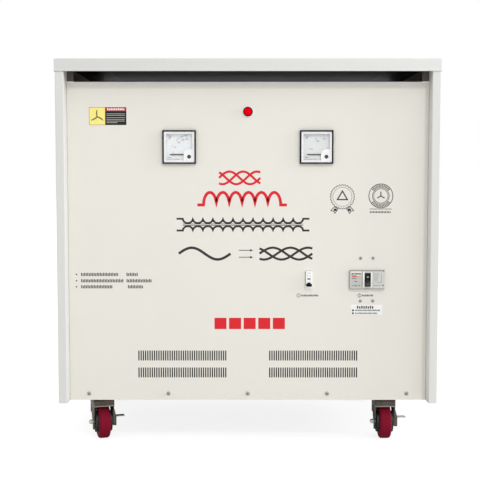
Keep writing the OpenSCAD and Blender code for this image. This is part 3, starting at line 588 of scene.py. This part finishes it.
def badges(black, grey):
    """Two round marks. The left one is a scalloped ring with a delta sign and two ribbon ends, and the
    right one a ring with ticks, round a double ring with a star sign."""
    face = PANEL_FACE
    cx, cz = 0.273, 0.722
    edge, notch, teeth = 0.0358, 0.0034, 28
    scallops = [polar(cx, cz, edge - notch * (i % 2), 180 * i / teeth) for i in range(2 * teeth)]
    stroke(grey, scallops, 0.0015, face, True)
    ring(grey, cx, cz, 0.0275, 0.0009, face)
    stroke(black, [(cx - 0.0145, cz - 0.008), (cx + 0.0145, cz - 0.008), (cx, cz + 0.0165)], 0.0035,
           face, True)
    for turn in (-1, 1):
        ribbon = [(cx + turn * dx, cz + dz) for dx, dz in
                  ((0.012, -0.0345), (0.023, -0.0285), (0.033, -0.0400), (0.0245, -0.0420),
                   (0.0215, -0.0480))]
        stroke(black, ribbon, 0.0019, face, True)
        knot = cx + turn * 0.0205
        bar(black, knot - 0.0042, knot + 0.0042, cz - 0.0411, cz - 0.0339, face)
    cx, cz = 0.384, 0.7245
    ring(black, cx, cz, 0.0345, 0.0021, face, 48)
    ring(grey, cx, cz, 0.0240, 0.0018, face)
    ring(grey, cx, cz, 0.0205, 0.0014, face)
    for start in (38, 218):
        for i in range(13):
            stroke(black, [polar(cx, cz, r, start + 104 * i / 12) for r in (0.0262, 0.0325)], 0.0025, face)
    for a in (90, 210, 330):
        stroke(black, [(cx, cz), polar(cx, cz, 0.0125, a)], 0.0030, face)
    bar(black, 0.352, 0.4155, 0.6860, 0.6876, face)
    dashes(black, 0.353, 0.4145, 0.6780, 0.0054, face, 4.4 * MM)


def captions(black):
    """A ringed number and a line of small blocks under each breaker."""
    face, z = PANEL_FACE, 0.4355
    for number, left, right in (("1", 0.148, 0.206), ("2", 0.3245, 0.3650)):
        ring(black, left, z, 0.0050, 0.0013, face, 28)
        glyphs(black, number, 0.0080, left, z, face)
        dashes(black, left + 0.008, right, z, 0.0056, face, 3.6 * MM)


def front_print():
    """The printing on the front panel, with no words."""
    red, black, grey = bmesh.new(), bmesh.new(), bmesh.new()
    diagrams(red, black, grey)
    badges(black, grey)
    captions(black)
    place_print("front_print_", ("red", red, RED_INK), ("black", black, BLACK_INK),
                ("grey", grey, DARK_INK))


def wiring_plate():
    """The plate at the upper left: a yellow field with a star-connected winding, and a dark field
    with a red head strip and plain rules."""
    x0, x1, z0, z1 = -0.456, -0.349, 0.928, 0.979
    split, head, border = x0 + 0.046, z1 - 0.0115, 0.0006
    face, top = PANEL_FACE, PANEL_FACE - FILM
    yellow, dark, red, pale, black, white = (bmesh.new() for _ in range(6))
    bar(yellow, x0, split, z0, z1, face)
    bar(dark, split, x1, z0, head, face)
    bar(red, split, x1, head, z1, face)
    corner = (x0 + border, z0 + border)
    stroke(red, [corner, (split, z0 + border)], 0.0010, top)
    stroke(red, [(split, z1 - border), (x0 + border, z1 - border), corner], 0.0010, top)
    cx, cz = (x0 + split) / 2, (z0 + z1) / 2 - 0.002
    # Each winding runs outwards from the middle in three turns, as (distance, step aside).
    turns = [(0.006 + 0.002 * k, 0.0022 * (1 - k % 2)) for k in range(6)]
    winding = [(0.0, 0.0), (0.004, 0.0)] + turns + [(0.020, 0.0)]
    for a in (90, 210, 330):
        c, s = math.cos(math.radians(a)), math.sin(math.radians(a))
        stroke(black, [(cx + c * r - s * w, cz + s * r + c * w) for r, w in winding], 0.0022, top)
    spot(black, cx, cz, 0.0024, top, 12)
    dashes(white, split + 0.006, x1 - 0.004, z1 - 0.0058, 0.0062, top, 5.2 * MM, 0.70)
    for z, gap in ((0.9600, 0.004), (0.9556, 0.004), (0.9490, 0.004), (0.9435, 0.005), (0.9392, 0.005),
                   (0.9348, 0.026)):
        bar(pale, split + 0.004, x1 - gap, z - 0.0008, z + 0.0008, top)
    place_print("wiring_plate_", ("yellow_field", yellow, YELLOW_INK), ("dark_field", dark, DEEP_BLACK_INK),
                ("red_strip", red, DARK_RED_INK), ("pale_rules", pale, PALE_INK),
                ("head_marks", white, WHITE_INK), ("star_winding", black, BLACK_INK))


def guide_label():
    """The pale label under the main breaker: a heading and two rows of small blocks, each with a
    diamond before it."""
    film, black, grey = bmesh.new(), bmesh.new(), bmesh.new()
    face, top = PANEL_FACE, PANEL_FACE - FILM
    bar(film, 0.300, 0.391, 0.3795, 0.4085, face, FILM)
    dashes(black, 0.3175, 0.3675, 0.4010, 0.0084, top, 6.4 * MM)
    for z, right in ((0.3920, 0.386), (0.3835, 0.378)):
        shell(black, [(0.3020, z), (0.3060, z + 0.0036)], [(0.3060, z - 0.0036), (0.3100, z)], top)
        dashes(grey, 0.3125, right, z, 0.0044, top, 3.6 * MM)
    place_print("guide_label_", ("film", film, LABEL_FILM), ("heading", black, BLACK_INK),
                ("lines", grey, DARK_INK))


# The needle's pivot, and the zero screw below it, as seen from the middle of a meter.
PIVOT_X, PIVOT_Z, ZERO_Z = 0.0284, -0.0215, -0.0277


def meter_print(side):
    """The scale of one meter: ticks with their numbers, an arc, the unit and small print."""
    lo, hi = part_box(side + "_meter_case")
    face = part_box(side + "_meter_dial")[0].y
    cx, cz = (lo.x + hi.x) / 2, (lo.z + hi.z) / 2
    px, pz = cx + PIVOT_X, cz + PIVOT_Z
    rim = 0.0556
    black, grey = bmesh.new(), bmesh.new()
    # Each number and its angle, up from the left. The upper numbers stand closer together.
    marks = (((0, 9), (100, 27.6), (200, 50), (300, 67), (400, 82)) if side == "left" else
             ((100, 20), (200, 57), (300, 82)))
    for value, a in marks:
        glyphs(grey, str(value), 0.0058, polar(px, pz, 0.0460, 180 - a)[0],
               polar(px, pz, 0.0455, 180 - a)[1], face)
        if value:
            stroke(grey, [polar(px, pz, r, 180 - a) for r in (0.0520, rim)], 0.0009, face)
    for (_, a), (_, b) in zip(marks, marks[1:]):
        for k in (1, 2, 3, 4):
            between = 180 - a - (b - a) * k / 5
            stroke(grey, [polar(px, pz, r, between) for r in (0.0540, rim)], 0.0003, face)
    if side == "left":
        stroke(grey, arc(px, pz, rim, 131, 94, 14), 0.0006, face)
    stroke(black, [(cx - 0.0313, cz + 0.0322), (cx - 0.0274, cz + 0.0244), (cx - 0.0235, cz + 0.0322)],
           0.0011, face)
    dashes(grey, cx - 0.0330, cx - 0.0225, cz - 0.0298, 0.0018, face, 2.0 * MM)
    dashes(grey, cx - 0.0340, cx + 0.0010, cz - 0.0352, 0.0013, face, 2.6 * MM, 0.4)
    place_print(side + "_meter_", ("scale", black, BLACK_INK), ("arc", grey, GREY_INK))


def zero_screw(side):
    """The screw on a meter's cover that sets the needle to zero: a flat black head, bevelled round
    its edge."""
    lo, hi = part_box(side + "_meter_case")
    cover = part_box(side + "_meter_cover")[0].y
    x, z = (lo.x + hi.x) / 2 + PIVOT_X, (lo.z + hi.z) / 2 + ZERO_Z
    head = bmesh.new()
    rows = [[head.verts.new((px, cover + y, pz)) for px, pz in arc(x, z, radius, 0, 360, 24)[:-1]]
            for radius, y in ((0.0056, INK_SUNK), (0.0056, -0.0005), (0.0050, -0.0010))]
    skin(head, rows)
    head.faces.new(rows[0])
    head.faces.new(rows[-1])
    place_on(side + "_meter_zero_screw", head, PHENOLIC, smooth=40)


def pointer(side):
    """The needle: a flat blade that tapers to its tip, on a hub with a hole for the pivot."""
    lo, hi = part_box(side + "_meter_needle")
    mid, pz, pivot = (lo.y + hi.y) / 2, (lo.z + hi.z) / 2, hi.x - 0.0040
    taper = ((pivot - 0.0025, 0.0019), (lo.x + 0.0060, 0.0017), (lo.x, 0.0010))
    shape = bmesh.new()
    shell(shape, [(x, pz + half) for x, half in taper], [(x, pz - half) for x, half in taper],
          mid - 0.05 * MM, out=0.20 * MM)
    ring(shape, pivot, pz, 0.0027, 0.0024, mid + 0.85 * MM, 24, 1.85 * MM)
    place_on(side + "_meter_pointer", shape, NEEDLE_LACQUER, side + "_needle",
             (side + "_meter_needle",))


def main_breaker_labels():
    """The two labels on the main breaker's nose, its ribs, two dark lines between the labels and the ribs,
    and a painted shadow along the nose's top, left and bottom edges, with no words.
    """
    face, top = NOSE_FACE, NOSE_FACE - FILM
    grey, pale, yellow, red, black, thin, edge, white = (bmesh.new() for _ in range(8))
    # A painted shadow along the nose's top, left and bottom edges.
    stroke(edge, [(0.3958, 0.5083), (0.2982, 0.5083), (0.2953, 0.5050), (0.2953, 0.4590), (0.2982, 0.4557),
                  (0.3958, 0.4557)], 0.0020, face)
    # Dark lines between the labels and the ribs.
    for x0, x1 in ((0.3300, 0.3324), (0.3616, 0.3628)):
        bar(edge, x0, x1, 0.4590, 0.5060, face)
    for x0, x1 in ((0.3326, 0.3378), (0.3562, 0.3614)):
        bar(white, x0, x1, 0.4600, 0.5050, face)
    bar(white, 0.2990, 0.3292, 0.5030, 0.5060, face)
    bar(grey, 0.2990, 0.3292, 0.4600, 0.5025, face, FILM)
    bar(pale, 0.3640, 0.3940, 0.4600, 0.5025, face, FILM)
    # On the left label, from its top down.
    shell(black, [(0.3003, 0.4980), (0.3025, 0.5012)], [(0.3045, 0.4980), (0.3065, 0.5012)], top)
    dashes(thin, 0.3095, 0.3270, 0.4995, 0.0030, top, 2.6 * MM, 0.75)
    bar(yellow, 0.3160, 0.3250, 0.4926, 0.4962, top)
    dashes(red, 0.3012, 0.3150, 0.4925, 0.0038, top, 3.0 * MM, 0.85)
    dashes(red, 0.3160, 0.3265, 0.4912, 0.0022, top, 3.6 * MM, 0.7)
    dashes(thin, 0.3010, 0.3150, 0.4862, 0.0020, top, 2.4 * MM, 0.75)
    bar(black, 0.3085, 0.3172, 0.4762, 0.4780, top)
    dashes(thin, 0.3010, 0.3130, 0.4648, 0.0022, top, 2.4 * MM)
    for x in (0.3142, 0.3225):
        bar(black, x - 0.0012, x + 0.0014, 0.4640, 0.4668, top)
    # On the right label, from its top down.
    for k in range(5):
        dashes(thin, 0.3655 + 0.0004 * k, 0.3790 - 0.0006 * k, 0.4990 - 0.0050 * k, 0.0018, top,
               2.3 * MM, 0.45)
    stroke(thin, [(0.3870, 0.5000), (0.3870, 0.4740), (0.3740, 0.4740)], 0.0006, top)
    dashes(thin, 0.3660, 0.3780, 0.4658, 0.0018, top, 2.4 * MM)
    dashes(black, 0.3795, 0.3838, 0.4660, 0.0026, top, 2.2 * MM)
    spot(black, 0.3912, 0.4660, 0.0022, top)
    spot(black, 0.3925, 0.5078, 0.0018, top, 12)
    place_print("main_breaker_label_", ("left", grey, LABEL_GREY), ("right", pale, LABEL_PALE),
                ("yellow_block", yellow, YELLOW_INK), ("red_marks", red, RED_INK),
                ("black_marks", black, BLACK_INK), ("fine_lines", thin, DARK_INK),
                ("parting_lines", edge, SHADOW_AND_PARTING_GREY), ("pale_ribs", white, WHITE_INK))
    # The white mark on the floor of the slot, above the lever, drawn large so that it also stands for a
    # painted highlight on the lever.
    mark = bmesh.new()
    bar(mark, 0.3464, 0.3522, 0.4835, 0.4910, face + SLOT_DEEP)
    place_on("main_breaker_position_mark", mark, WHITE_INK)


def small_breaker_marks():
    """A line of small blocks and two strokes on the small breaker's nose, and a painted shadow along its left
    edge.
    """
    lo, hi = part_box("small_breaker")
    small, rim = bmesh.new(), bmesh.new()
    dashes(small, lo.x + 0.0045, hi.x - 0.0045, 0.5015, 0.0020, lo.y, 2.2 * MM)
    for x in (0.1735, 0.1805):
        bar(small, x - 0.0006, x + 0.0006, 0.4905, 0.4965, lo.y)
    # A painted shadow along the nose's left edge.
    bar(rim, lo.x + 0.0001, lo.x + 0.0014, 0.4650, 0.5060, lo.y)
    place_print("small_breaker_", ("marks", small, GREY_INK), ("edge", rim, SHADOW_AND_PARTING_GREY))


def lever_arm(shape, pivot, lean, sections):
    """A lever's arm. Its sections are (distance from the pivot, half width, half thickness), all in
    millimetres, with rounded corners."""
    out = Vector((0.0, -math.cos(lean), -math.sin(lean)))
    up = Vector((0.0, -math.sin(lean), math.cos(lean)))
    softness = 0.8 * MM
    rows = []
    for reach, wide, thick in sections:
        outline = rounded(wide * MM, thick * MM, softness, 2)
        rows.append([shape.verts.new(pivot + out * reach * MM + Vector((x, 0, 0)) + up * lift)
                     for x, lift in outline])
    skin(shape, rows)
    shape.faces.new(rows[0])
    shape.faces.new(rows[-1])


def lever_drum(shape, pivot, half, radius, start, end):
    """The ring that turns on the pin, or the part of it between two angles in degrees."""
    closed = end - start >= 360
    bore, steps = 2.1 * MM, 24
    edges = [arc(0, 0, r, start, end, steps) for r in (bore, radius)]
    if closed:
        edges = [edge[:-1] for edge in edges]
    left, right = [[[shape.verts.new((x, pivot.y - y, pivot.z + z)) for y, z in edge] for edge in edges]
                   for x in (pivot.x - half, pivot.x + half)]
    slab(shape, left, right, closed)


def lever(breaker, pin_z, sections, arm_finish, drum_finish, drum_radius, start, end):
    """The lever of a breaker, as it leans in the off position: an arm on a drum. start and end are
    the angles that the drum covers, in degrees."""
    node, body = breaker + "_breaker_toggle", breaker + "_toggle"
    pin_depth, lean, clearance = 8.0 * MM, math.radians(35), 0.1 * MM
    lo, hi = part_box(node)
    pivot = Vector(((lo.x + hi.x) / 2, NOSE_FACE + pin_depth, pin_z))
    arm, drum = bmesh.new(), bmesh.new()
    lever_arm(arm, pivot, lean, sections)
    lever_drum(drum, pivot, (hi.x - lo.x) / 2 - clearance, drum_radius, start, end)
    place_on(node + "_lever", arm, arm_finish, body, (node,), smooth=40)
    place_on(node + "_drum", drum, drum_finish, body, smooth=40)


front_print()
wiring_plate()
guide_label()
main_breaker_labels()
small_breaker_marks()
lever("small", 0.476,
      ((2.4, 3.9, 2.4), (11.6, 3.9, 2.4), (12.6, 7.9, 2.4), (19.0, 7.9, 2.4), (20.0, 7.2, 1.7)),
      PHENOLIC, WHITE_PLASTIC, 7.6 * MM, -70, 50)
lever("main", 0.482,
      ((2.4, 6.0, 3.0), (13.0, 6.0, 2.9), (14.6, 7.4, 3.4), (24.4, 7.4, 3.4), (26.0, 6.8, 2.4)),
      LEVER_BLACK_SHEEN, PHENOLIC, 4.4 * MM, 0, 360)
for side in SIDES:
    meter_print(side)
    zero_screw(side)
    pointer(side)

# ---------------------------------------------------------------- lid


def lid():
    """The tray lid: a flat top, a skirt with rounded bends and a rolled hem along its lower edge."""
    hem, wall, bend = 1.0 * MM, 1.5 * MM, 2.6 * MM
    tall = LID_HI.z - LID_LO.z
    # Down the outside, round the hem and up the inside, as (distance out from the skirt, height).
    outer = [(-bend * (1 - math.sin(a)), tall - bend * (1 - math.cos(a)))
             for a in (math.radians(18 * i) for i in range(6))]
    rolled = [(0.0, 5.0 * MM), (0.6 * MM, 4.2 * MM), (hem, 3.2 * MM), (hem, 1.0 * MM), (0.7 * MM, 0.25 * MM),
              (0.1 * MM, 0.0), (-wall + 0.3 * MM, 0.0), (-wall, 0.4 * MM)]
    inner = [(-wall - (bend - wall) * math.sin(a) * 0.9, tall - wall - (bend - wall) * (1 - math.sin(a)))
             for a in (0.0, math.radians(45), math.radians(90))]
    shape = bmesh.new()
    rows = []
    for offset, height in outer + rolled + inner:
        outline = rounded(LID_HI.x - hem + offset, LID_HI.y - hem + offset, max(0.4 * MM, bend + offset), 4)
        rows.append([shape.verts.new((x, y, LID_LO.z + height)) for x, y in outline])
    skin(shape, rows)
    shape.faces.new(rows[0])
    shape.faces.new(rows[-1])
    place_on("lid", shape, LID_PAINT, stands_for=("top_cover",), smooth=35)


lid()

# ---------------------------------------------------------------- screws


def screw_pattern():
    """One screw that faces -Y, with its head's seat at the origin: a pan head with a cross recess, on
    a shank. The radius of the head is one unit, to be scaled."""
    sides = 24
    shape = bmesh.new()

    def row(radius, y):
        return [shape.verts.new((x, y, z)) for x, z in arc(0, 0, radius, 0, 360, sides)[:-1]]

    def edges_round(points):
        pairs = list(zip(points, points[1:] + points[:1]))
        return [shape.edges.get(pair) or shape.edges.new(pair) for pair in pairs]

    rows = [row(1.0, 0.0), row(1.0, -0.16), row(0.95, -0.36), row(0.82, -0.54), row(0.62, -0.66)]
    skin(shape, rows)
    arm, reach = 0.11, 0.46
    corners = [(arm, arm), (arm, reach), (-arm, reach), (-arm, arm), (-reach, arm), (-reach, -arm),
               (-arm, -arm), (-arm, -reach), (arm, -reach), (arm, -arm), (reach, -arm), (reach, arm)]
    mouth = [shape.verts.new((x, -0.70, z)) for x, z in corners]
    floor = [shape.verts.new((x * 0.7, -0.32, z * 0.7)) for x, z in corners]
    bmesh.ops.triangle_fill(shape, use_beauty=True, edges=edges_round(mouth) + edges_round(rows[-1]))
    skin(shape, (mouth, floor))
    shape.faces.new(floor)
    shank = [row(0.42, 0.0), row(0.42, 1.6)]
    bmesh.ops.bridge_loops(shape, edges=edges_round(rows[0]) + edges_round(shank[0]))
    skin(shape, shank)
    shape.faces.new(shank[1])
    bmesh.ops.remove_doubles(shape, verts=shape.verts, dist=1e-5)
    bmesh.ops.recalc_face_normals(shape, faces=shape.faces)
    mesh = bpy.data.meshes.new("cross_recess_screw")
    shape.to_mesh(mesh)
    shape.free()
    mesh.shade_smooth()
    mesh.set_sharp_from_angle(angle=math.radians(38))
    pattern = bpy.data.objects.new("cross_recess_screw", mesh)
    bpy.context.scene.collection.objects.link(pattern)
    return pattern


def scatter_tree():
    """Puts a pattern on each point, scaled and turned, and gives it a finish."""
    tree = bpy.data.node_groups.new("fasteners_on_points", "GeometryNodeTree")
    sockets = tree.interface
    for name, kind in (("Points", "NodeSocketGeometry"), ("Pattern", "NodeSocketObject"),
                       ("Head radius", "NodeSocketFloat"), ("Facing", "NodeSocketFloat"),
                       ("Turn seed", "NodeSocketInt"), ("Finish", "NodeSocketMaterial")):
        sockets.new_socket(name=name, in_out="INPUT", socket_type=kind)
    sockets.new_socket(name="Fasteners", in_out="OUTPUT", socket_type="NodeSocketGeometry")
    given = add(tree, "NodeGroupInput").outputs
    source = add(tree, "GeometryNodeObjectInfo", {"Object": given["Pattern"]})
    spin = add(tree, "FunctionNodeRandomValue", {2: 0.0, 3: math.tau, "Seed": given["Turn seed"]},
               data_type="FLOAT").outputs[1]
    turn = add(tree, "ShaderNodeCombineXYZ", {"Y": spin, "Z": given["Facing"]}).outputs[0]
    size = add(tree, "ShaderNodeCombineXYZ", {"X": given["Head radius"], "Y": given["Head radius"],
                                              "Z": given["Head radius"]}).outputs[0]
    spread = add(tree, "GeometryNodeInstanceOnPoints",
                 {"Points": given["Points"], "Instance": source.outputs["Geometry"], "Rotation": turn,
                  "Scale": size})
    real = add(tree, "GeometryNodeRealizeInstances", {0: spread.outputs[0]})
    done = add(tree, "GeometryNodeSetMaterial", {0: real.outputs[0], "Material": given["Finish"]})
    add(tree, "NodeGroupOutput", {"Fasteners": done.outputs[0]})
    return tree


FASTENERS = scatter_tree()


def fasteners(node, pattern, seats, radius, facing, seed):
    """Screws at the given seats, as one plain mesh that stands for a CAD node."""
    name = node.replace("screws", "cross_screws")
    points = bpy.data.meshes.new(name)
    points.from_pydata(seats, [], [])
    holder = bpy.data.objects.new(name + "_points", points)
    bpy.context.scene.collection.objects.link(holder)
    modifier = holder.modifiers.new("fasteners", "NODES")
    modifier.node_group = FASTENERS
    values = {"Pattern": pattern, "Head radius": radius, "Facing": facing, "Turn seed": seed,
              "Finish": SCREW_ZINC}
    for item in FASTENERS.interface.items_tree:
        if item.in_out == "INPUT" and item.name in values:
            modifier[item.identifier] = values[item.name]
    bpy.context.view_layer.update()
    evaluated = holder.evaluated_get(bpy.context.evaluated_depsgraph_get())
    mesh = bpy.data.meshes.new_from_object(evaluated)
    holder.modifiers.clear()
    bpy.data.objects.remove(holder)
    settle(name, mesh, None, stands_for=(node,))


def all_screws():
    """The panel screws, front and back, and the main breaker's screws."""
    pattern = screw_pattern()
    for seed, (node, face, facing) in enumerate((
            ("front_screws", PANEL_FACE, 0.0), ("back_screws", BACK_FACE, math.pi),
            ("main_breaker_screws", PANEL_FACE, 0.0))):
        solids = solids_of(node)
        seats = [((lo.x + hi.x) / 2, face, (lo.z + hi.z) / 2) for lo, hi in solids]
        radius = (solids[0][1].x - solids[0][0].x) / 2
        fasteners(node, pattern, seats, radius, facing, seed)
    bpy.data.objects.remove(pattern)


all_screws()

# ---------------------------------------------------------------- casters


def axle_bolt(corner):
    """The axle: a shank through the fork, and on the left leg a washer and a chamfered hexagon nut
    with a domed cap."""
    lo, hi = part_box(corner + "_tread")
    centre = (lo + hi) / 2
    along = Vector(next(j["axis"] for j in frame["record"]["behaviour"]["joints"]
                        if j["name"] == corner + "_wheel_spin")).normalized()
    across = Vector((-along.y, along.x, 0.0))
    reach = [(v.co - centre).dot(along) for v in NODES[corner + "_axle"].data.vertices]
    start, end = min(reach), max(reach)
    sides, flats = 48, 6.1 * MM
    shape = bmesh.new()

    def row(at, radius, flats=0.0):
        """Points round the axle; flats is half the width across the flats of a hexagon that cuts them."""
        points = []
        for i in range(sides):
            a = math.tau * i / sides
            near = (a + math.pi / 6) % (math.pi / 3) - math.pi / 6
            r = min(radius, flats / math.cos(near)) if flats else radius
            points.append(shape.verts.new(centre + along * at + across * r * math.cos(a) +
                                          Vector((0, 0, r * math.sin(a)))))
        return points

    # The cap, the nut's hexagon between its two chamfers, the washer and the shank.
    rows = [row(start + at * MM, radius * MM, flats if cut else 0.0) for at, radius, cut in
            ((0.0, 1.6, 0), (0.4, 3.2, 0), (1.2, 4.5, 0), (2.4, 5.4, 0), (3.8, 5.8, 0), (4.0, 6.0, 0),
             (4.8, 6.9, 1), (9.6, 6.9, 1), (10.2, 6.0, 0), (10.2, 7.0, 0), (11.9, 7.0, 0), (11.9, 4.8, 0))]
    rows += [row(end - 0.5 * MM, 4.8 * MM), row(end - 0.1 * MM, 4.3 * MM)]
    skin(shape, rows)
    shape.faces.new(rows[0])
    shape.faces.new(rows[-1])
    place_on(corner + "_axle_nut", shape, NUT_ZINC_HIGHLIGHT, corner + "_swivel", (corner + "_axle",),
             smooth=35)


for corner in CORNERS:
    axle_bolt(corner)

# ---------------------------------------------------------------- studio


WHITE = linear("#FFFFFF")


def white_surround():
    """A surround that is full white to the camera, in gloss and through glass, and lights a little less."""
    world = bpy.data.worlds.new("studio")
    bpy.context.scene.world = world
    world.use_nodes = True
    tree = world.node_tree
    tree.nodes.clear()
    rays = add(tree, "ShaderNodeLightPath").outputs
    seen = rays["Is Camera Ray"]
    for ray in ("Is Glossy Ray", "Is Transmission Ray"):
        seen = add(tree, "ShaderNodeMath", {0: seen, 1: rays[ray]}, operation="MAXIMUM").outputs[0]
    soft = add(tree, "ShaderNodeBackground", {"Color": WHITE, "Strength": 0.87})
    white = add(tree, "ShaderNodeBackground", {"Color": WHITE, "Strength": 1.0})
    mixed = add(tree, "ShaderNodeMixShader", {0: seen, 1: soft.outputs[0], 2: white.outputs[0]})
    add(tree, "ShaderNodeOutputWorld", {"Surface": mixed.outputs[0]})


def studio_floor():
    """A light grey floor, which the camera sees darker but glowing, so that it rises to white and keeps
    its soft shadows."""
    strength, reach = 0.84, 30.0
    material = bpy.data.materials.new("pale studio floor")
    material.use_nodes = True
    tree = material.node_tree
    tree.nodes.clear()
    rays = add(tree, "ShaderNodeLightPath").outputs
    tone = add(tree, "ShaderNodeMix", {0: rays["Is Camera Ray"], 6: linear("#DCDCDC"),
                                       7: linear("#9E9E9E")}, data_type="RGBA").outputs[2]
    matt = add(tree, "ShaderNodeBsdfDiffuse", {"Color": tone})
    lift = add(tree, "ShaderNodeMath", {0: rays["Is Camera Ray"], 1: strength},
               operation="MULTIPLY").outputs[0]
    glow = add(tree, "ShaderNodeEmission", {"Color": WHITE, "Strength": lift})
    both = add(tree, "ShaderNodeAddShader", {0: matt.outputs[0], 1: glow.outputs[0]})
    add(tree, "ShaderNodeOutputMaterial", {"Surface": both.outputs[0]})
    mesh = bpy.data.meshes.new("studio_floor")
    mesh.from_pydata([(-reach, -reach, 0), (reach, -reach, 0), (reach, reach, 0), (-reach, reach, 0)],
                     [], [(0, 1, 2, 3)])
    mesh.materials.append(material)
    floor = bpy.data.objects.new("studio_floor", mesh)
    bpy.context.scene.collection.objects.link(floor)


def softboxes():
    """Two round lights: a small one high in front, for the crisp shadows, and a large one at the right.
    Each has its direction and distance from the front panel, its diameter and its watts."""
    target = Vector((0.0, PANEL_FACE, 0.62))
    for name, toward, distance, size, power in (
            ("key_softbox", (0.345, -1.0, 1.0), 7.86, 0.5, 125.0),
            ("side_softbox", (1.0, -0.13, 0.30), 7.0, 2.0, 225.0)):
        lamp = bpy.data.lights.new(name, "AREA")
        lamp.shape, lamp.size, lamp.energy = "DISK", size, power
        light = bpy.data.objects.new(name, lamp)
        bpy.context.scene.collection.objects.link(light)
        direction = Vector(toward).normalized()
        light.location = target + direction * distance
        light.rotation_euler = direction.to_track_quat("Z", "Y").to_euler()


def camera():
    """The camera stands about 2.7 m in front of the cabinet, a little under 0.8 m up, tipped down."""
    tip, turn = math.radians(3.77), 0.001
    data = bpy.data.cameras.new("camera")
    data.sensor_width = 36.0
    data.lens = 71.25
    holder = bpy.data.objects.new("camera", data)
    bpy.context.scene.collection.objects.link(holder)
    holder.location = (-0.0199, -3.05, 0.7779)
    holder.rotation_euler = (math.pi / 2 - tip, 0.0, turn)
    bpy.context.scene.camera = holder


white_surround()
studio_floor()
softboxes()
camera()
bpy.context.scene.view_settings.view_transform = "Standard"
